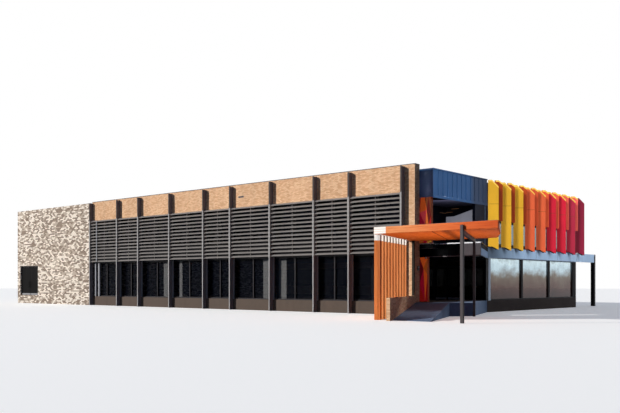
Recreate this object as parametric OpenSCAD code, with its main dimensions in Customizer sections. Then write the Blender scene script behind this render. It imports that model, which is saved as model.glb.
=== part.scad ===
// School building, a model at 1:2 of the real one. All sizes are those of the model, in mm.
// Plan directions: X runs along the long front, Y runs into the depth, Z = 0 is the lowest ground.
// The long front's right-hand corner is the point that the plan is set out from.

/* [Levels] */
// Height of the ground floor above the lowest ground
floor_z = 400; // [250:10:600]
// Height of the ground storey glazing
ground_h = 1515; // [1400:5:1700]
// Height of the louvred band of the upper storey
louvre_h = 1885; // [1740:5:2100]
// Height of the brick parapet over the louvres
parapet_h = 840; // [600:10:1000]
// Thickness of the coping on the long front
coping_t = 25; // [15:5:60]
// Height from one floor to the next, to the top of the slabs
storey_h = 1805; // [1750:5:1880]
// Thickness of the upper floor and the roof
slab_t = 150; // [100:10:200]
// Thickness of the outer walls
wall_t = 150; // [100:10:200]

/* [Long front] */
// Distance from the corner to the first upright blade
first_fin = 400; // [400:5:440]
// Width of the wide bays
wide_bay = 2065; // [1600:5:2600]
// Width of the narrow bays
narrow_bay = 1510; // [1200:5:2000]
// Number of groups of bays, each wide, narrow, wide
bay_groups = 3; // [1:1:3]
// Thickness of an upright blade
fin_w = 50; // [30:5:80]
// Distance that the upright blades stand out from the wall
fin_out = 175; // [150:5:220]
// Distance from the coping's underside to the top of the upright blades
fin_drop = 40; // [20:5:100]
// Width of the brick corner pier
pier_w = 435; // [435:5:600]
// Depth of the brick corner pier
pier_d = 265; // [200:5:300]
// Depth of the whole block
block_d = 11205; // [10000:5:12000]

/* [Louvres] */
// Distance from one louvre blade to the next
louvre_pitch = 138; // [120:2:180]
// Height of the lowest louvre blade's middle over the ground storey glazing
louvre_first = 56; // [50:2:90]
// Width of a louvre blade from edge to edge
louvre_chord = 110; // [80:5:120]
// Thickness of a louvre blade at its middle
louvre_t = 14; // [8:1:20]
// Slope of the louvre blades
louvre_tilt = 38; // [20:1:50]
// Width of a louvre frame's uprights
stile_w = 18; // [10:2:40]
// Distance from the wall to the louvre frames
louvre_gap = 60; // [20:5:65]
// Distance that the louvre frames lie behind the front edges of the upright blades
louvre_set = 5; // [0:1:15]
// Depth of the ribs behind the louvre blades
rib_d = 35; // [30:1:50]

/* [Glazing] */
// Width of window bars
bar_w = 40; // [25:5:60]
// Depth of window bars
bar_d = 50; // [30:5:60]
// Thickness of the glass sheets
glass_t = 12; // [8:1:20]
// Distance from a wall's face to its window bars
reveal = 60; // [40:5:70]
// Height of the wall under the upper windows, from the upper floor
upper_sill = 245; // [150:5:400]
// Widest pane between two bars
pane_w = 1100; // [600:10:1200]
// Width of the posts behind the upright blades
front_post_w = 80; // [60:5:110]

/* [Checkered pavilion] */
// Length of the pavilion along the front
pavilion_l = 6355; // [5000:5:7000]
// Distance that the pavilion stands forward of the long front
pavilion_out = 175; // [175:5:400]
// Distance that the pavilion's top lies under the long front's top
pavilion_drop = 70; // [0:5:200]
// Width of the pier left of the pavilion's doorway
door_pier = 270; // [200:5:500]
// Width of the pavilion's doorway
pavilion_door_w = 1680; // [1400:5:2000]
// Height of the pavilion's doorway
pavilion_door_h = 1445; // [1200:5:1600]

/* [Doors] */
// Thickness of a door leaf
leaf_t = 30; // [20:1:35]
// Gap round each door leaf
leaf_gap = 6; // [5:1:10]
// Width of a door frame's members
frame_w = 45; // [30:5:70]
// Depth of a door frame
frame_d = 60; // [50:5:80]
// Distance that the leaves lie behind the fronts of their frames
leaf_set = 5; // [2:1:10]
// Width of the stiles and top rail of a glazed leaf
leaf_stile = 50; // [35:5:80]
// Height of the bottom rail of a glazed leaf
leaf_kick = 110; // [80:5:160]
// Height of a pull handle's middle over the floor
pull_z = 525; // [480:5:600]
// Radius of a pull handle's bar
pull_r = 8; // [5:1:10]
// Radius of a pull handle's brackets
bracket_r = 5; // [3:1:8]
// Distance of the brackets from the ends of a pull handle
bracket_in = 40; // [20:5:80]
// Length of a pull handle's bar
pull_l = 320; // [200:10:500]
// Distance from a leaf's face to the middle of its pull handle
pull_out = 34; // [25:1:45]

/* [Entry] */
// Distance from the corner to the side wall with the coloured blades
side_x = 490; // [450:5:600]
// Depth of the recessed entry, from the corner back to the blade wall
recess_d = 3655; // [3400:5:4000]
// Length of the entry's recess along the front, behind the long front's last bay
recess_l = 2000; // [1800:10:2400]
// Distance from the long front to the awning's front
awning_y = 645; // [645:5:800]
// Distance from the corner to the awning's right end
awning_x = 1905; // [1700:5:2200]
// Distance that the entry's floor ends short of the awning's right end
landing_in = 250; // [150:10:350]
// Gap between the awning's splayed end and the blades' rails
awning_gap = 5; // [5:1:20]
// Thickness of the awning and the terrace floor
awning_t = 400; // [300:5:450]
// Thickness of the coloured panel walls
panel_wall_t = 100; // [60:5:120]
// Distance that the lower coloured wall shows past the corner
panel_show = 50; // [20:5:100]
// Distance that the upper coloured wall ends short of the side wall's face
panel_in = 70; // [0:5:100]
// Distance from the corner to the left edge of the entry doors
entry_door_x = 1520; // [1400:10:1550]
// Width of the entry's doorway, inside its frame
entry_door_w = 1000; // [900:10:1100]
// Height of the entry's doorway
entry_door_h = 1150; // [1050:10:1250]
// Widest pane beside the entry doors
entry_pane_w = 500; // [300:10:600]

/* [Upper terrace] */
// Depth of the terrace in from the side wall
terrace_w = 1500; // [1300:10:1800]
// Distance from the front of the metal box to the jamb panel behind the opening
terrace_l = 2575; // [2000:5:2700]
// Height of the terrace, floor to ceiling
terrace_h = 1430; // [1300:5:1500]
// Height of the metal-clad box over the terrace
box_h = 855; // [600:5:1000]
// Thickness of the metal-clad box's walls
box_t = 100; // [60:5:120]
// Thickness of the terrace's ceiling
ceiling_t = 25; // [15:5:40]

/* [Blade wall] */
// Height of the wing's ground storey glazing
wing_glass_h = 1475; // [1405:5:1500]
// Height of the beam over the wing's glazing
beam_h = 340; // [200:5:400]
// Height of the wing's upper glazing, over the beam
wing_strip_h = 895; // [700:5:1000]
// Height from the ground floor to the top of the blade wall
wing_top = 3990; // [3970:5:4200]
// Length of the solid jamb between the recess and the wing's glazing
wing_jamb = 250; // [155:5:400]
// Distance from the recess to the wing's first post
first_post = 2685; // [1500:5:3000]
// Distance between the wing's posts
post_pitch = 2320; // [1800:5:2600]
// Width of the wing's posts
wing_post_w = 120; // [40:5:130]
// Least distance from the wing's last post to the rear wall
post_clear = 70; // [50:5:100]
// Distance from the side wall's face to the wing's window bars
wing_reveal = 20; // [10:1:40]
// Distance that the beam and porch run on past the block
porch_d = 2115; // [1200:5:2200]
// Length of the porch along the rear
porch_l = 1500; // [1200:10:2500]
// Width of the porch's posts
porch_post_w = 150; // [80:5:150]

/* [Coloured blades] */
// Distance from one long blade to the next
blade_pitch = 930; // [800:5:940]
// Distance from the recess to the first long blade
first_blade = 70; // [40:5:120]
// Distance that the rails start before the first long blade
rail_lead = 25; // [20:1:35]
// Width of a long blade, edge to edge
blade_w = 340; // [250:5:400]
// Turn of the blades from square to the wall, in plan
blade_turn = 41; // [30:1:60]
// Thickness of the blades
blade_t = 36; // [20:1:45]
// Height of a long blade's foot over the beam's underside, at the wall
blade_foot = 355; // [200:5:400]
// Height of a long blade at the wall
blade_h = 2250; // [1900:5:2280]
// Drop of a long blade's foot at its outer edge
foot_rake = 110; // [5:5:200]
// Drop of a long blade's head at its outer edge
head_rake = 225; // [10:5:300]
// Width of a blade that stays level at head and foot, before the drop to its outer edge
rake_start = 120; // [20:5:200]
// Width of a short blade, edge to edge
short_w = 260; // [210:5:300]
// Height of a short blade
short_h = 1400; // [1000:5:1480]
// Drop of a short blade's head at its outer edge
short_rake = 100; // [5:5:200]
// Distance from the upper rail to the long blades' heads
head_over = 120; // [100:5:200]
// Thickness of the rails that hold the blades
rail_t = 15; // [8:1:30]
// Height of the rails that hold the blades
rail_h = 60; // [40:5:100]

/* [Timber canopy] */
// Distance that the canopy's front edge lies forward of the long front
canopy_y = 3250; // [2800:10:3600]
// Distance from the corner to the canopy's left front corner
canopy_x0 = 850; // [800:10:1200]
// Length of the canopy's front edge
canopy_l = 3630; // [3000:10:4000]
// Distance from the corner to the knee in the canopy's right edge
knee_x = 3480; // [3420:10:3650]
// Distance of that knee forward of the long front
knee_y = 1210; // [1000:5:1400]
// Length of the canopy's back edge, right of the corner
canopy_back = 2650; // [2200:10:3000]
// Distance that the canopy's back edge lies behind the long front
canopy_in = 240; // [100:5:250]
// Height of the canopy's underside over the ground floor
canopy_z = 1900; // [1830:5:2000]
// Thickness of the canopy at its front edge
canopy_t = 180; // [120:5:250]
// Thickness of the canopy at its back edge
canopy_back_t = 60; // [40:5:100]
// Distance forward of the long front at which the canopy's sloping top turns level
fall_end = 950; // [400:10:980]
// Skew of the canopy's left edge and the timber screen
screen_turn = 19; // [15:1:19]
// Distance from the long front to the timber screen's rear end
screen_end = 650; // [400:10:900]
// Thickness of the timber screen
screen_t = 100; // [60:5:140]
// Gap between the timber screen and the canopy over it
screen_gap = 1; // [1:1:5]
// Length of the screen's corner post along the screen
corner_l = 70; // [50:5:120]
// Depth of the screen's corner post across the screen
corner_d = 160; // [140:5:200]
// Number of upright battens on the screen
batten_count = 9; // [4:1:12]
// Distance from the screen's front end to its first batten
first_batten = 340; // [200:10:400]
// Width of a batten along the screen
batten_w = 30; // [20:5:60]
// Distance that a batten stands out from the screen
batten_d = 50; // [20:5:80]
// Distance of the steel portal's front post from the corner
portal_x = 3500; // [3200:10:3700]
// Distance of the portal's rear post from the corner
portal_back_x = 1760; // [1700:10:2000]
// Distance of the portal's rear post behind the long front
portal_back_y = 430; // [390:10:460]
// Width of the portal's members
portal_w = 75; // [50:5:100]
// Height of the portal's top member
portal_h = 110; // [80:5:160]

/* [Ramp] */
// Distance that the ramp starts forward of the long front
ramp_y = 3150; // [2800:10:3400]
// Width of the ramp
ramp_w = 1170; // [900:10:1300]
// Sideways shift of the ramp for each unit of its length
ramp_skew = 0.424; // [0.38:0.01:0.46]
// Height of the ramp's front lip
ramp_lip = 12; // [8:1:20]
// Thickness of the low brick wall beside the ramp
low_wall_t = 120; // [80:5:140]
// Height of the low brick wall
low_wall_h = 600; // [500:10:700]
// Distance that the low wall starts forward of the long front
low_wall_y = 3480; // [3200:10:3600]
// Distance from the corner to the low wall's near face, at the long front
low_wall_x = 50; // [20:5:80]

/* [Rear] */
// Number of windows in each rear storey
rear_windows = 10; // [4:1:12]
// Width of a rear window
rear_window_w = 950; // [700:10:1100]
// Height of a rear window
rear_window_h = 800; // [600:10:900]
// Height of the rear window sills over each floor
rear_sill = 500; // [450:10:600]

/* [Hidden] */
$fn = 32;
// Small overlap that keeps cuts clean
cut = 1;
// Heights over the lowest ground
ground_head = floor_z + ground_h;
louvre_head = ground_head + louvre_h;
front_top = louvre_head + parapet_h;
upper_z = floor_z + storey_h;
roof_z = upper_z + storey_h;
pavilion_top = front_top + coping_t - pavilion_drop;
terrace_head = upper_z + terrace_h;
beam_z = floor_z + wing_glass_h;
beam_head = beam_z + beam_h;
strip_head = beam_head + wing_strip_h;
wing_head = floor_z + wing_top;
canopy_foot = floor_z + canopy_z;
screen_head = canopy_foot - screen_gap;
// Places along the front, before the plan is centred
bay_list = [for (g = [1:bay_groups]) each [wide_bay, narrow_bay, wide_bay]];
bay_count = len(bay_list);
function bay_sum(n) = n == 0 ? 0 : bay_list[n - 1] + bay_sum(n - 1);
function fin_at(n) = -first_fin - bay_sum(n);
main_x0 = fin_at(bay_count) - fin_w / 2;
pavilion_x0 = main_x0 - pavilion_l;
inner_x = side_x - wall_t;
inner_y = block_d - wall_t;
recess_x0 = -recess_l;
terrace_x0 = side_x - terrace_w;
jamb_y = pier_d + terrace_l;
door_x0 = pavilion_x0 + door_pier;
door_x1 = door_x0 + pavilion_door_w;
canopy_x1 = canopy_x0 + canopy_l;
beam_end = block_d + porch_d;
porch_x0 = side_x - porch_l;
entry_y0 = recess_d - frame_d;
screen_slope = tan(screen_turn);
rail_y = recess_d + first_blade - rail_lead;
// As many long blades as the wing's length holds
blade_count = 1 + floor((block_d - recess_d - first_blade - blade_t) / blade_pitch);
// First blade of each colour, and one past the last
colour_steps = [for (share = [0, 3, 5, 7, 9]) round(blade_count * share / 9)];
// The plan's centre comes to the origin
shift_x = -(pavilion_x0 + canopy_x1) / 2;
shift_y = -(beam_end - max(low_wall_y, canopy_y + portal_w)) / 2;

module on_plan() {
    translate([shift_x, shift_y, 0]) children();
}

module block(low, high) {
    translate(low) cube(high - low);
}

// A flat piece of the given outline between two heights
module plate(outline, z0, z1) {
    translate([0, 0, z0]) linear_extrude(z1 - z0) polygon(outline);
}

// Window bars that close the rectangle from (x0, z0) to (x1, z1), with uprights at the given places
module bar_grid(x0, x1, z0, z1, uprights, depth = bar_d, upright_w = bar_w) {
    block([x0, 0, z0], [x1, depth, z0 + bar_w]);
    block([x0, 0, z1 - bar_w], [x1, depth, z1]);
    block([x0, 0, z0], [x0 + bar_w, depth, z1]);
    block([x1 - bar_w, 0, z0], [x1, depth, z1]);
    for (x = uprights) block([x - upright_w / 2, 0, z0], [x + upright_w / 2, depth, z1]);
}

// Turns a piece drawn along X so that it stands in the side wall, facing +X
module on_side(x) {
    translate([x, 0, 0]) rotate([0, 0, 90]) children();
}

// Places that split the length from a to b into equal panes no wider than the given width
function splits(a, b, widest = pane_w) =
    let (n = ceil((b - a) / widest)) [for (k = [1:1:n - 1]) a + (b - a) * k / n];

// Ground works

module main_podium() on_plan() color("silver")
    block([main_x0, 0, 0], [side_x, block_d, floor_z]);

module pavilion_podium() on_plan() color("tan")
    block([pavilion_x0, -pavilion_out, 0], [main_x0, block_d, floor_z]);

module entry_ramp() on_plan() color("slategray") {
    near_x = low_wall_x + ramp_skew * ramp_y;
    run = [[low_wall_x, 0], [near_x, -ramp_y], [near_x + ramp_w, -ramp_y], [low_wall_x + ramp_w, 0]];
    landing = [[side_x, 0], [low_wall_x + ramp_w, 0], [awning_x - landing_in, awning_y], [side_x, recess_d]];
    intersection() {
        plate(run, 0, floor_z);
        rotate([90, 0, 90]) linear_extrude(near_x + ramp_w)
            polygon([[-ramp_y, 0], [0, 0], [0, floor_z], [-ramp_y, ramp_lip]]);
    }
    plate(landing, 0, floor_z);
}

module ramp_wall() on_plan() color("peru") {
    near_x = low_wall_x + ramp_skew * low_wall_y;
    outline = [[low_wall_x, 0], [low_wall_x - low_wall_t, 0], [near_x - low_wall_t, -low_wall_y],
               [near_x, -low_wall_y]];
    plate(outline, 0, low_wall_h);
}

// Floors and roof

module first_floor() on_plan() color("lightgray")
    plate([[main_x0, wall_t], [-pier_w, wall_t], [-pier_w, pier_d], [side_x, pier_d],
           [side_x, awning_y], [recess_x0 - wall_t, awning_y], [recess_x0 - wall_t, recess_d],
           [inner_x, recess_d], [inner_x, inner_y], [main_x0, inner_y]],
          upper_z - slab_t, upper_z);

module roof_slab() on_plan() color("gray")
    plate([[main_x0, wall_t], [-pier_w, wall_t], [-pier_w, pier_d], [0, pier_d],
           [0, pier_d + box_t], [side_x - box_t, pier_d + box_t], [side_x - box_t, recess_d],
           [inner_x, recess_d], [inner_x, inner_y], [main_x0, inner_y]],
          roof_z - slab_t, roof_z);

// Long front

module corner_pier() on_plan() color("burlywood")
    block([-pier_w, 0, floor_z], [0, pier_d, front_top]);

module front_spandrel() on_plan() color("dimgray")
    block([main_x0, 0, ground_head], [-pier_w, wall_t, upper_z + upper_sill]);

module front_parapet() on_plan() color("burlywood")
    block([main_x0, 0, louvre_head], [-pier_w, wall_t, front_top]);

module front_coping() on_plan() color("dimgray")
    plate([[main_x0, 0], [0, 0], [0, pier_d], [-pier_w, pier_d], [-pier_w, wall_t], [main_x0, wall_t]],
          front_top, front_top + coping_t);

module front_fins() on_plan() color("darkslategray")
    for (n = [0:bay_count])
        block([fin_at(n) - fin_w / 2, -fin_out, 0], [fin_at(n) + fin_w / 2, 0, front_top - fin_drop]);

// Posts in the plane of the long front, behind the upright blades
module front_posts() on_plan() color("lightslategray")
    for (n = [1:bay_count - 1])
        translate([fin_at(n) - front_post_w / 2, 0, 0])
            block([0, 0, floor_z], [front_post_w, reveal, ground_head]);

// Lens-shaped section of a louvre blade, from its inner to its outer edge
module louvre_section() {
    edge = louvre_chord / 2;
    shoulder = louvre_chord / 5;
    polygon([[-edge, 0], [-shoulder, -louvre_t / 2], [shoulder, -louvre_t / 2],
             [edge, 0], [shoulder, louvre_t / 2], [-shoulder, louvre_t / 2]]);
}

// One bay's louvre panel: uprights at the ends, sloping blades, and ribs behind the blades
module louvre_panel(x0, x1) {
    front = louvre_set - fin_out;
    rise = louvre_chord / 2 * sin(louvre_tilt);
    for (x = [x0, x1 - stile_w])
        block([x, front, ground_head], [x + stile_w, -louvre_gap, louvre_head]);
    for (x = splits(x0, x1))
        block([x - stile_w / 2, -louvre_gap - rib_d, ground_head],
              [x + stile_w / 2, -louvre_gap, louvre_head]);
    for (z = [ground_head + louvre_first : louvre_pitch : louvre_head - rise])
        translate([x0, (front - louvre_gap) / 2, z])
            rotate([louvre_tilt, 0, 0]) rotate([90, 0, 90]) linear_extrude(x1 - x0) louvre_section();
}

module front_louvres() on_plan() color("gray")
    for (n = [0:bay_count - 1]) louvre_panel(fin_at(n + 1) + fin_w / 2, fin_at(n) - fin_w / 2);

module front_frames() on_plan() color("darkslategray")
    translate([0, reveal, 0]) {
        uprights = concat([for (n = [0:bay_count - 1]) each splits(fin_at(n + 1), fin_at(n))],
                          [for (n = [1:bay_count - 1]) fin_at(n)]);
        bar_grid(main_x0, -pier_w, floor_z, ground_head, uprights);
        bar_grid(main_x0, -pier_w, upper_z + upper_sill, louvre_head, uprights);
    }

module front_glass() on_plan() color("lightblue", 0.5)
    for (z = [[floor_z, ground_head], [upper_z + upper_sill, louvre_head]])
        block([main_x0, reveal + bar_d, z[0]], [-pier_w, reveal + bar_d + glass_t, z[1]]);

// Checkered pavilion

module pavilion_front_piers() on_plan() color("tan") {
    block([pavilion_x0, -pavilion_out, floor_z], [door_x0, wall_t - pavilion_out, pavilion_top]);
    block([door_x1, -pavilion_out, floor_z], [main_x0, wall_t - pavilion_out, pavilion_top]);
}

module pavilion_front_lintel() on_plan() color("tan")
    block([door_x0, -pavilion_out, floor_z + pavilion_door_h],
          [door_x1, wall_t - pavilion_out, pavilion_top]);

module pavilion_side_walls() on_plan() color("tan")
    for (x = [pavilion_x0, main_x0 - wall_t])
        block([x, wall_t - pavilion_out, floor_z], [x + wall_t, block_d, pavilion_top]);

module pavilion_roof() on_plan() color("gray")
    block([pavilion_x0 + wall_t, wall_t - pavilion_out, roof_z - slab_t],
          [main_x0 - wall_t, inner_y, roof_z]);

// Upright frame of a doorway w wide and h high, from the floor, with its front at y = 0
module door_frame(w, h) {
    difference() {
        block([0, 0, floor_z], [w, frame_d, floor_z + h]);
        block([frame_w, -cut, floor_z - cut], [w - frame_w, frame_d + cut, floor_z + h - frame_w]);
    }
}

module pavilion_door_frame() on_plan() color("black")
    translate([door_x0, -pavilion_out + reveal, 0]) door_frame(pavilion_door_w, pavilion_door_h);

// Pull handle that stands out from the face y = 0
module pull_handle(x) {
    foot = floor_z + pull_z - pull_l / 2;
    translate([x, -pull_out, foot]) cylinder(r = pull_r, h = pull_l);
    for (z = [foot + bracket_in, foot + pull_l - bracket_in])
        translate([x, -pull_out, z]) rotate([-90, 0, 0]) cylinder(r = bracket_r, h = pull_out + leaf_t / 2);
}

// A solid leaf w wide and h high from its hinge edge at x = 0, with its front at y = 0
module solid_leaf(w, h) {
    block([0, 0, floor_z + leaf_gap], [w, leaf_t, floor_z + h]);
    pull_handle(w - leaf_stile);
}

// A glazed leaf's frame, with its hinge edge at x = 0 and its front at y = 0
module glazed_leaf(w, h) {
    difference() {
        block([0, 0, floor_z + leaf_gap], [w, leaf_t, floor_z + h]);
        block([leaf_stile, -cut, floor_z + leaf_kick],
              [w - leaf_stile, leaf_t + cut, floor_z + h - leaf_stile]);
    }
    pull_handle(w - leaf_stile / 2);
}

module leaf_pane(w, h) {
    middle = (leaf_t - glass_t) / 2;
    block([leaf_stile, middle, floor_z + leaf_kick],
          [w - leaf_stile, middle + glass_t, floor_z + h - leaf_stile]);
}

pavilion_leaf_w = pavilion_door_w / 2 - frame_w - 1.5 * leaf_gap;
pavilion_leaf_h = pavilion_door_h - frame_w - leaf_gap;
pavilion_leaf_y = -pavilion_out + reveal + leaf_set;

module pavilion_left_leaf() on_plan() color("dimgray")
    translate([door_x0 + frame_w + leaf_gap, pavilion_leaf_y, 0])
        solid_leaf(pavilion_leaf_w, pavilion_leaf_h);

module pavilion_right_leaf() on_plan() color("dimgray")
    translate([door_x1 - frame_w - leaf_gap, pavilion_leaf_y, 0]) mirror([1, 0, 0])
        solid_leaf(pavilion_leaf_w, pavilion_leaf_h);

// Entry

module panel_walls() on_plan() color("brown") {
    block([0, pier_d, upper_z], [side_x - panel_in, pier_d + panel_wall_t, terrace_head]);
    block([recess_x0 - wall_t, awning_y, floor_z], [panel_show, awning_y + panel_wall_t, upper_z - awning_t]);
}

module entry_side_walls() on_plan() color("dimgray") {
    block([recess_x0 - wall_t, awning_y + panel_wall_t, floor_z], [recess_x0, recess_d, upper_z - awning_t]);
    block([-pier_w, pier_d, floor_z], [-pier_w + panel_wall_t, awning_y, upper_z - slab_t]);
}

module entry_awning() on_plan() color("midnightblue")
    plate([[recess_x0 - wall_t, awning_y], [awning_x, awning_y], [side_x, rail_y - awning_gap],
           [side_x, recess_d], [recess_x0 - wall_t, recess_d]], upper_z - awning_t, upper_z);

entry_x0 = -entry_door_x - frame_w;
entry_x1 = entry_x0 + entry_door_w + 2 * frame_w;
entry_head = floor_z + entry_door_h + frame_w;
// The glass lies behind the bars, inside the depth of the door's frame
screen_bar_d = frame_d - glass_t;

module entry_screen() on_plan() color("black") {
    top = upper_z - awning_t;
    translate([entry_x0, entry_y0, 0]) door_frame(entry_door_w + 2 * frame_w, entry_door_h + frame_w);
    translate([0, entry_y0, 0]) {
        bar_grid(recess_x0, entry_x0, floor_z, top, [], screen_bar_d);
        bar_grid(entry_x0, entry_x1, entry_head - bar_w, top, [], screen_bar_d);
        bar_grid(entry_x1, side_x, floor_z, top, splits(entry_x1, side_x, entry_pane_w), screen_bar_d);
    }
}

module entry_screen_glass() on_plan() color("lightblue", 0.5)
    difference() {
        block([recess_x0, entry_y0 + screen_bar_d, floor_z], [side_x, recess_d, upper_z - awning_t]);
        block([entry_x0, entry_y0, floor_z - cut], [entry_x1, recess_d + cut, entry_head]);
    }

entry_leaf_w = entry_door_w / 2 - 1.5 * leaf_gap;
entry_leaf_h = entry_door_h - leaf_gap;

module entry_left_at() on_plan()
    translate([entry_x0 + frame_w + leaf_gap, entry_y0 + leaf_set, 0]) children();

module entry_right_at() on_plan()
    translate([entry_x1 - frame_w - leaf_gap, entry_y0 + leaf_set, 0]) mirror([1, 0, 0]) children();

module entry_left_leaf() color("dimgray") entry_left_at() glazed_leaf(entry_leaf_w, entry_leaf_h);

module entry_right_leaf() color("dimgray") entry_right_at() glazed_leaf(entry_leaf_w, entry_leaf_h);

module entry_left_pane() color("lightblue", 0.5) entry_left_at() leaf_pane(entry_leaf_w, entry_leaf_h);

module entry_right_pane() color("lightblue", 0.5) entry_right_at() leaf_pane(entry_leaf_w, entry_leaf_h);

// Upper terrace

module terrace_walls() on_plan() color("lightslategray") {
    block([terrace_x0 - wall_t, wall_t, upper_z], [terrace_x0, recess_d - wall_t, roof_z - slab_t]);
    block([terrace_x0 - wall_t, recess_d - wall_t, upper_z], [side_x - box_t, recess_d, roof_z - slab_t]);
    block([side_x - box_t, jamb_y, upper_z], [side_x, recess_d, terrace_head]);
}

module terrace_ceiling() on_plan() color("dimgray")
    plate([[terrace_x0, wall_t], [-pier_w, wall_t], [-pier_w, pier_d], [0, pier_d],
           [0, pier_d + box_t], [side_x - box_t, pier_d + box_t], [side_x - box_t, recess_d - wall_t],
           [terrace_x0, recess_d - wall_t]], terrace_head, terrace_head + ceiling_t);

module metal_box() on_plan() color("steelblue")
    plate([[0, pier_d], [side_x, pier_d], [side_x, recess_d], [side_x - box_t, recess_d],
           [side_x - box_t, pier_d + box_t], [0, pier_d + box_t]],
          terrace_head, terrace_head + box_h);

// Wing with the coloured blades

module blade_wall() on_plan() color("darkslategray")
    block([inner_x, recess_d, strip_head], [side_x, block_d, wing_head]);

// Post places along the wing, and the start of its glazing
wing_glass_y = recess_d + wing_jamb;
post_places = [for (y = [recess_d + first_post : post_pitch : inner_y - post_clear]) y];

module wing_frames() on_plan() color("gainsboro") {
    for (z = [[floor_z, beam_z], [beam_head, strip_head]]) {
        block([inner_x, inner_y, z[0]], [side_x, block_d, z[1]]);
        block([inner_x, recess_d, z[0]], [side_x, wing_glass_y - cut, z[1]]);
        on_side(side_x - wing_reveal)
            bar_grid(wing_glass_y, inner_y, z[0], z[1], post_places, upright_w = wing_post_w);
    }
}

module wing_glass() on_plan() color("lightblue", 0.5)
    for (z = [[floor_z, beam_z], [beam_head, strip_head]])
        on_side(side_x - wing_reveal - bar_d)
            block([wing_glass_y, 0, z[0]], [inner_y, glass_t, z[1]]);

module wing_beam() on_plan() color("lightsteelblue")
    block([inner_x, recess_d, beam_z], [side_x, beam_end - porch_post_w, beam_head]);

// A raked blade with its inner edge on the rail, level at first and lower at its outer edge
module raked_blade(w, z0, z1, foot_drop, head_drop) {
    foot = foot_drop > 0 ? [[rake_start, z0], [w, z0 - foot_drop]] : [[w, z0]];
    intersection() {
        rotate([90, 0, 0]) linear_extrude(blade_t, center = true)
            polygon([[-blade_t, z0], each foot, [w, z1 - head_drop], [rake_start, z1], [-blade_t, z1]]);
        rotate([0, 0, -blade_turn]) block([0, -w, z0 - foot_drop - cut], [w, w, z1 + cut]);
    }
}

module blade_on_wall(y) translate([side_x + rail_t, y, 0]) rotate([0, 0, blade_turn]) children();

// The long blades of one colour
module long_blades(colour)
    for (n = [colour_steps[colour] : 1 : colour_steps[colour + 1] - 1])
        blade_on_wall(recess_d + first_blade + blade_pitch * n)
            raked_blade(blade_w, beam_z + blade_foot, beam_z + blade_foot + blade_h, foot_rake, head_rake);

module yellow_blades() on_plan() color("gold") long_blades(0);

module orange_blades() on_plan() color("coral") long_blades(1);

module red_blades() on_plan() color("crimson") long_blades(2);

module crimson_blades() on_plan() color("mediumvioletred") long_blades(3);

module short_blades() on_plan() color("sienna")
    for (n = [0:blade_count - 2])
        blade_on_wall(recess_d + first_blade + blade_pitch * (n + 0.5))
            raked_blade(short_w, strip_head, strip_head + short_h, 0, short_rake);

module blade_rails() on_plan() color("dimgray") {
    top = beam_z + blade_foot + blade_h;
    for (z = [strip_head, top - head_over - rail_h])
        block([side_x, rail_y, z], [side_x + rail_t, block_d, z + rail_h]);
    block([side_x, rail_y, beam_head], [side_x + rail_t, block_d, beam_head + rail_h * 2]);
}

porch_foot = beam_head - slab_t;

module rear_porch() on_plan() color("lightsteelblue")
    block([porch_x0, block_d, porch_foot], [inner_x, beam_end, beam_head]);

// A post under the porch's far corner, and one that closes the beam's end
module porch_posts() on_plan() color("darkslategray")
    for (post = [[porch_x0, porch_foot], [side_x - porch_post_w, beam_head]])
        block([post[0], beam_end - porch_post_w, 0], [post[0] + porch_post_w, beam_end, post[1]]);

// Timber canopy

canopy_left_x = canopy_x0 - screen_slope * canopy_y;

// Side view of the canopy's solid, drawn past its ends: its top falls towards the long front
module canopy_profile() {
    slope = (canopy_t - canopy_back_t) / (canopy_y - fall_end);
    polygon([[-canopy_y - cut, canopy_foot - cut], [canopy_in + cut, canopy_foot - cut],
             [canopy_in + cut, canopy_foot + canopy_back_t], [-fall_end, canopy_foot + canopy_back_t],
             [-canopy_y - cut, canopy_foot + canopy_t + slope * cut]]);
}

module canopy_roof() on_plan() color("chocolate")
    intersection() {
        plate([[canopy_x0, -canopy_y], [canopy_x1, -canopy_y], [knee_x, -knee_y],
               [canopy_back, canopy_in], [0, canopy_in], [0, 0], [canopy_left_x, 0]],
              canopy_foot, canopy_foot + canopy_t + cut);
        translate([canopy_left_x - cut, 0, 0]) rotate([90, 0, 90])
            linear_extrude(canopy_x1 - canopy_left_x + 2 * cut) canopy_profile();
    }

// The screen runs back from the canopy's left front corner, its battens to the ramp's side
module timber_screen() on_plan() color("chocolate") {
    run = (canopy_y - screen_end) / cos(screen_turn);
    step = (run - batten_w - first_batten) / (batten_count - 1);
    translate([canopy_x0, -canopy_y, 0]) rotate([0, 0, 90 + screen_turn]) {
        block([0, -screen_t, 0], [run, 0, screen_head]);
        block([0, -corner_d, 0], [corner_l, 0, screen_head]);
        for (n = [0:batten_count - 1])
            block([first_batten + step * n, -screen_t - batten_d, 0],
                  [first_batten + step * n + batten_w, -screen_t / 2, screen_head]);
    }
}

// Two posts with a member between them, set out from the middle of the front post
module steel_portal() on_plan() color("dimgray") {
    half = portal_w / 2;
    front_y = -canopy_y - half;
    turn = atan((portal_x - portal_back_x) / (portal_back_y - front_y));
    length = norm([portal_x - portal_back_x, portal_back_y - front_y]);
    translate([portal_x + half, front_y, 0]) {
        block([-half, -half, 0], [half, half, canopy_foot + portal_h]);
        rotate([0, 0, turn]) {
            block([-half, 0, canopy_foot - portal_h], [half, length + half, canopy_foot]);
            block([-half, length - half, 0], [half, length + half, canopy_foot]);
        }
    }
}

// Rear

window_step = (inner_x - main_x0) / rear_windows;
function window_x(n) = main_x0 + window_step * (n + 0.5) - rear_window_w / 2;
window_sills = [floor_z + rear_sill, upper_z + rear_sill];

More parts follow.
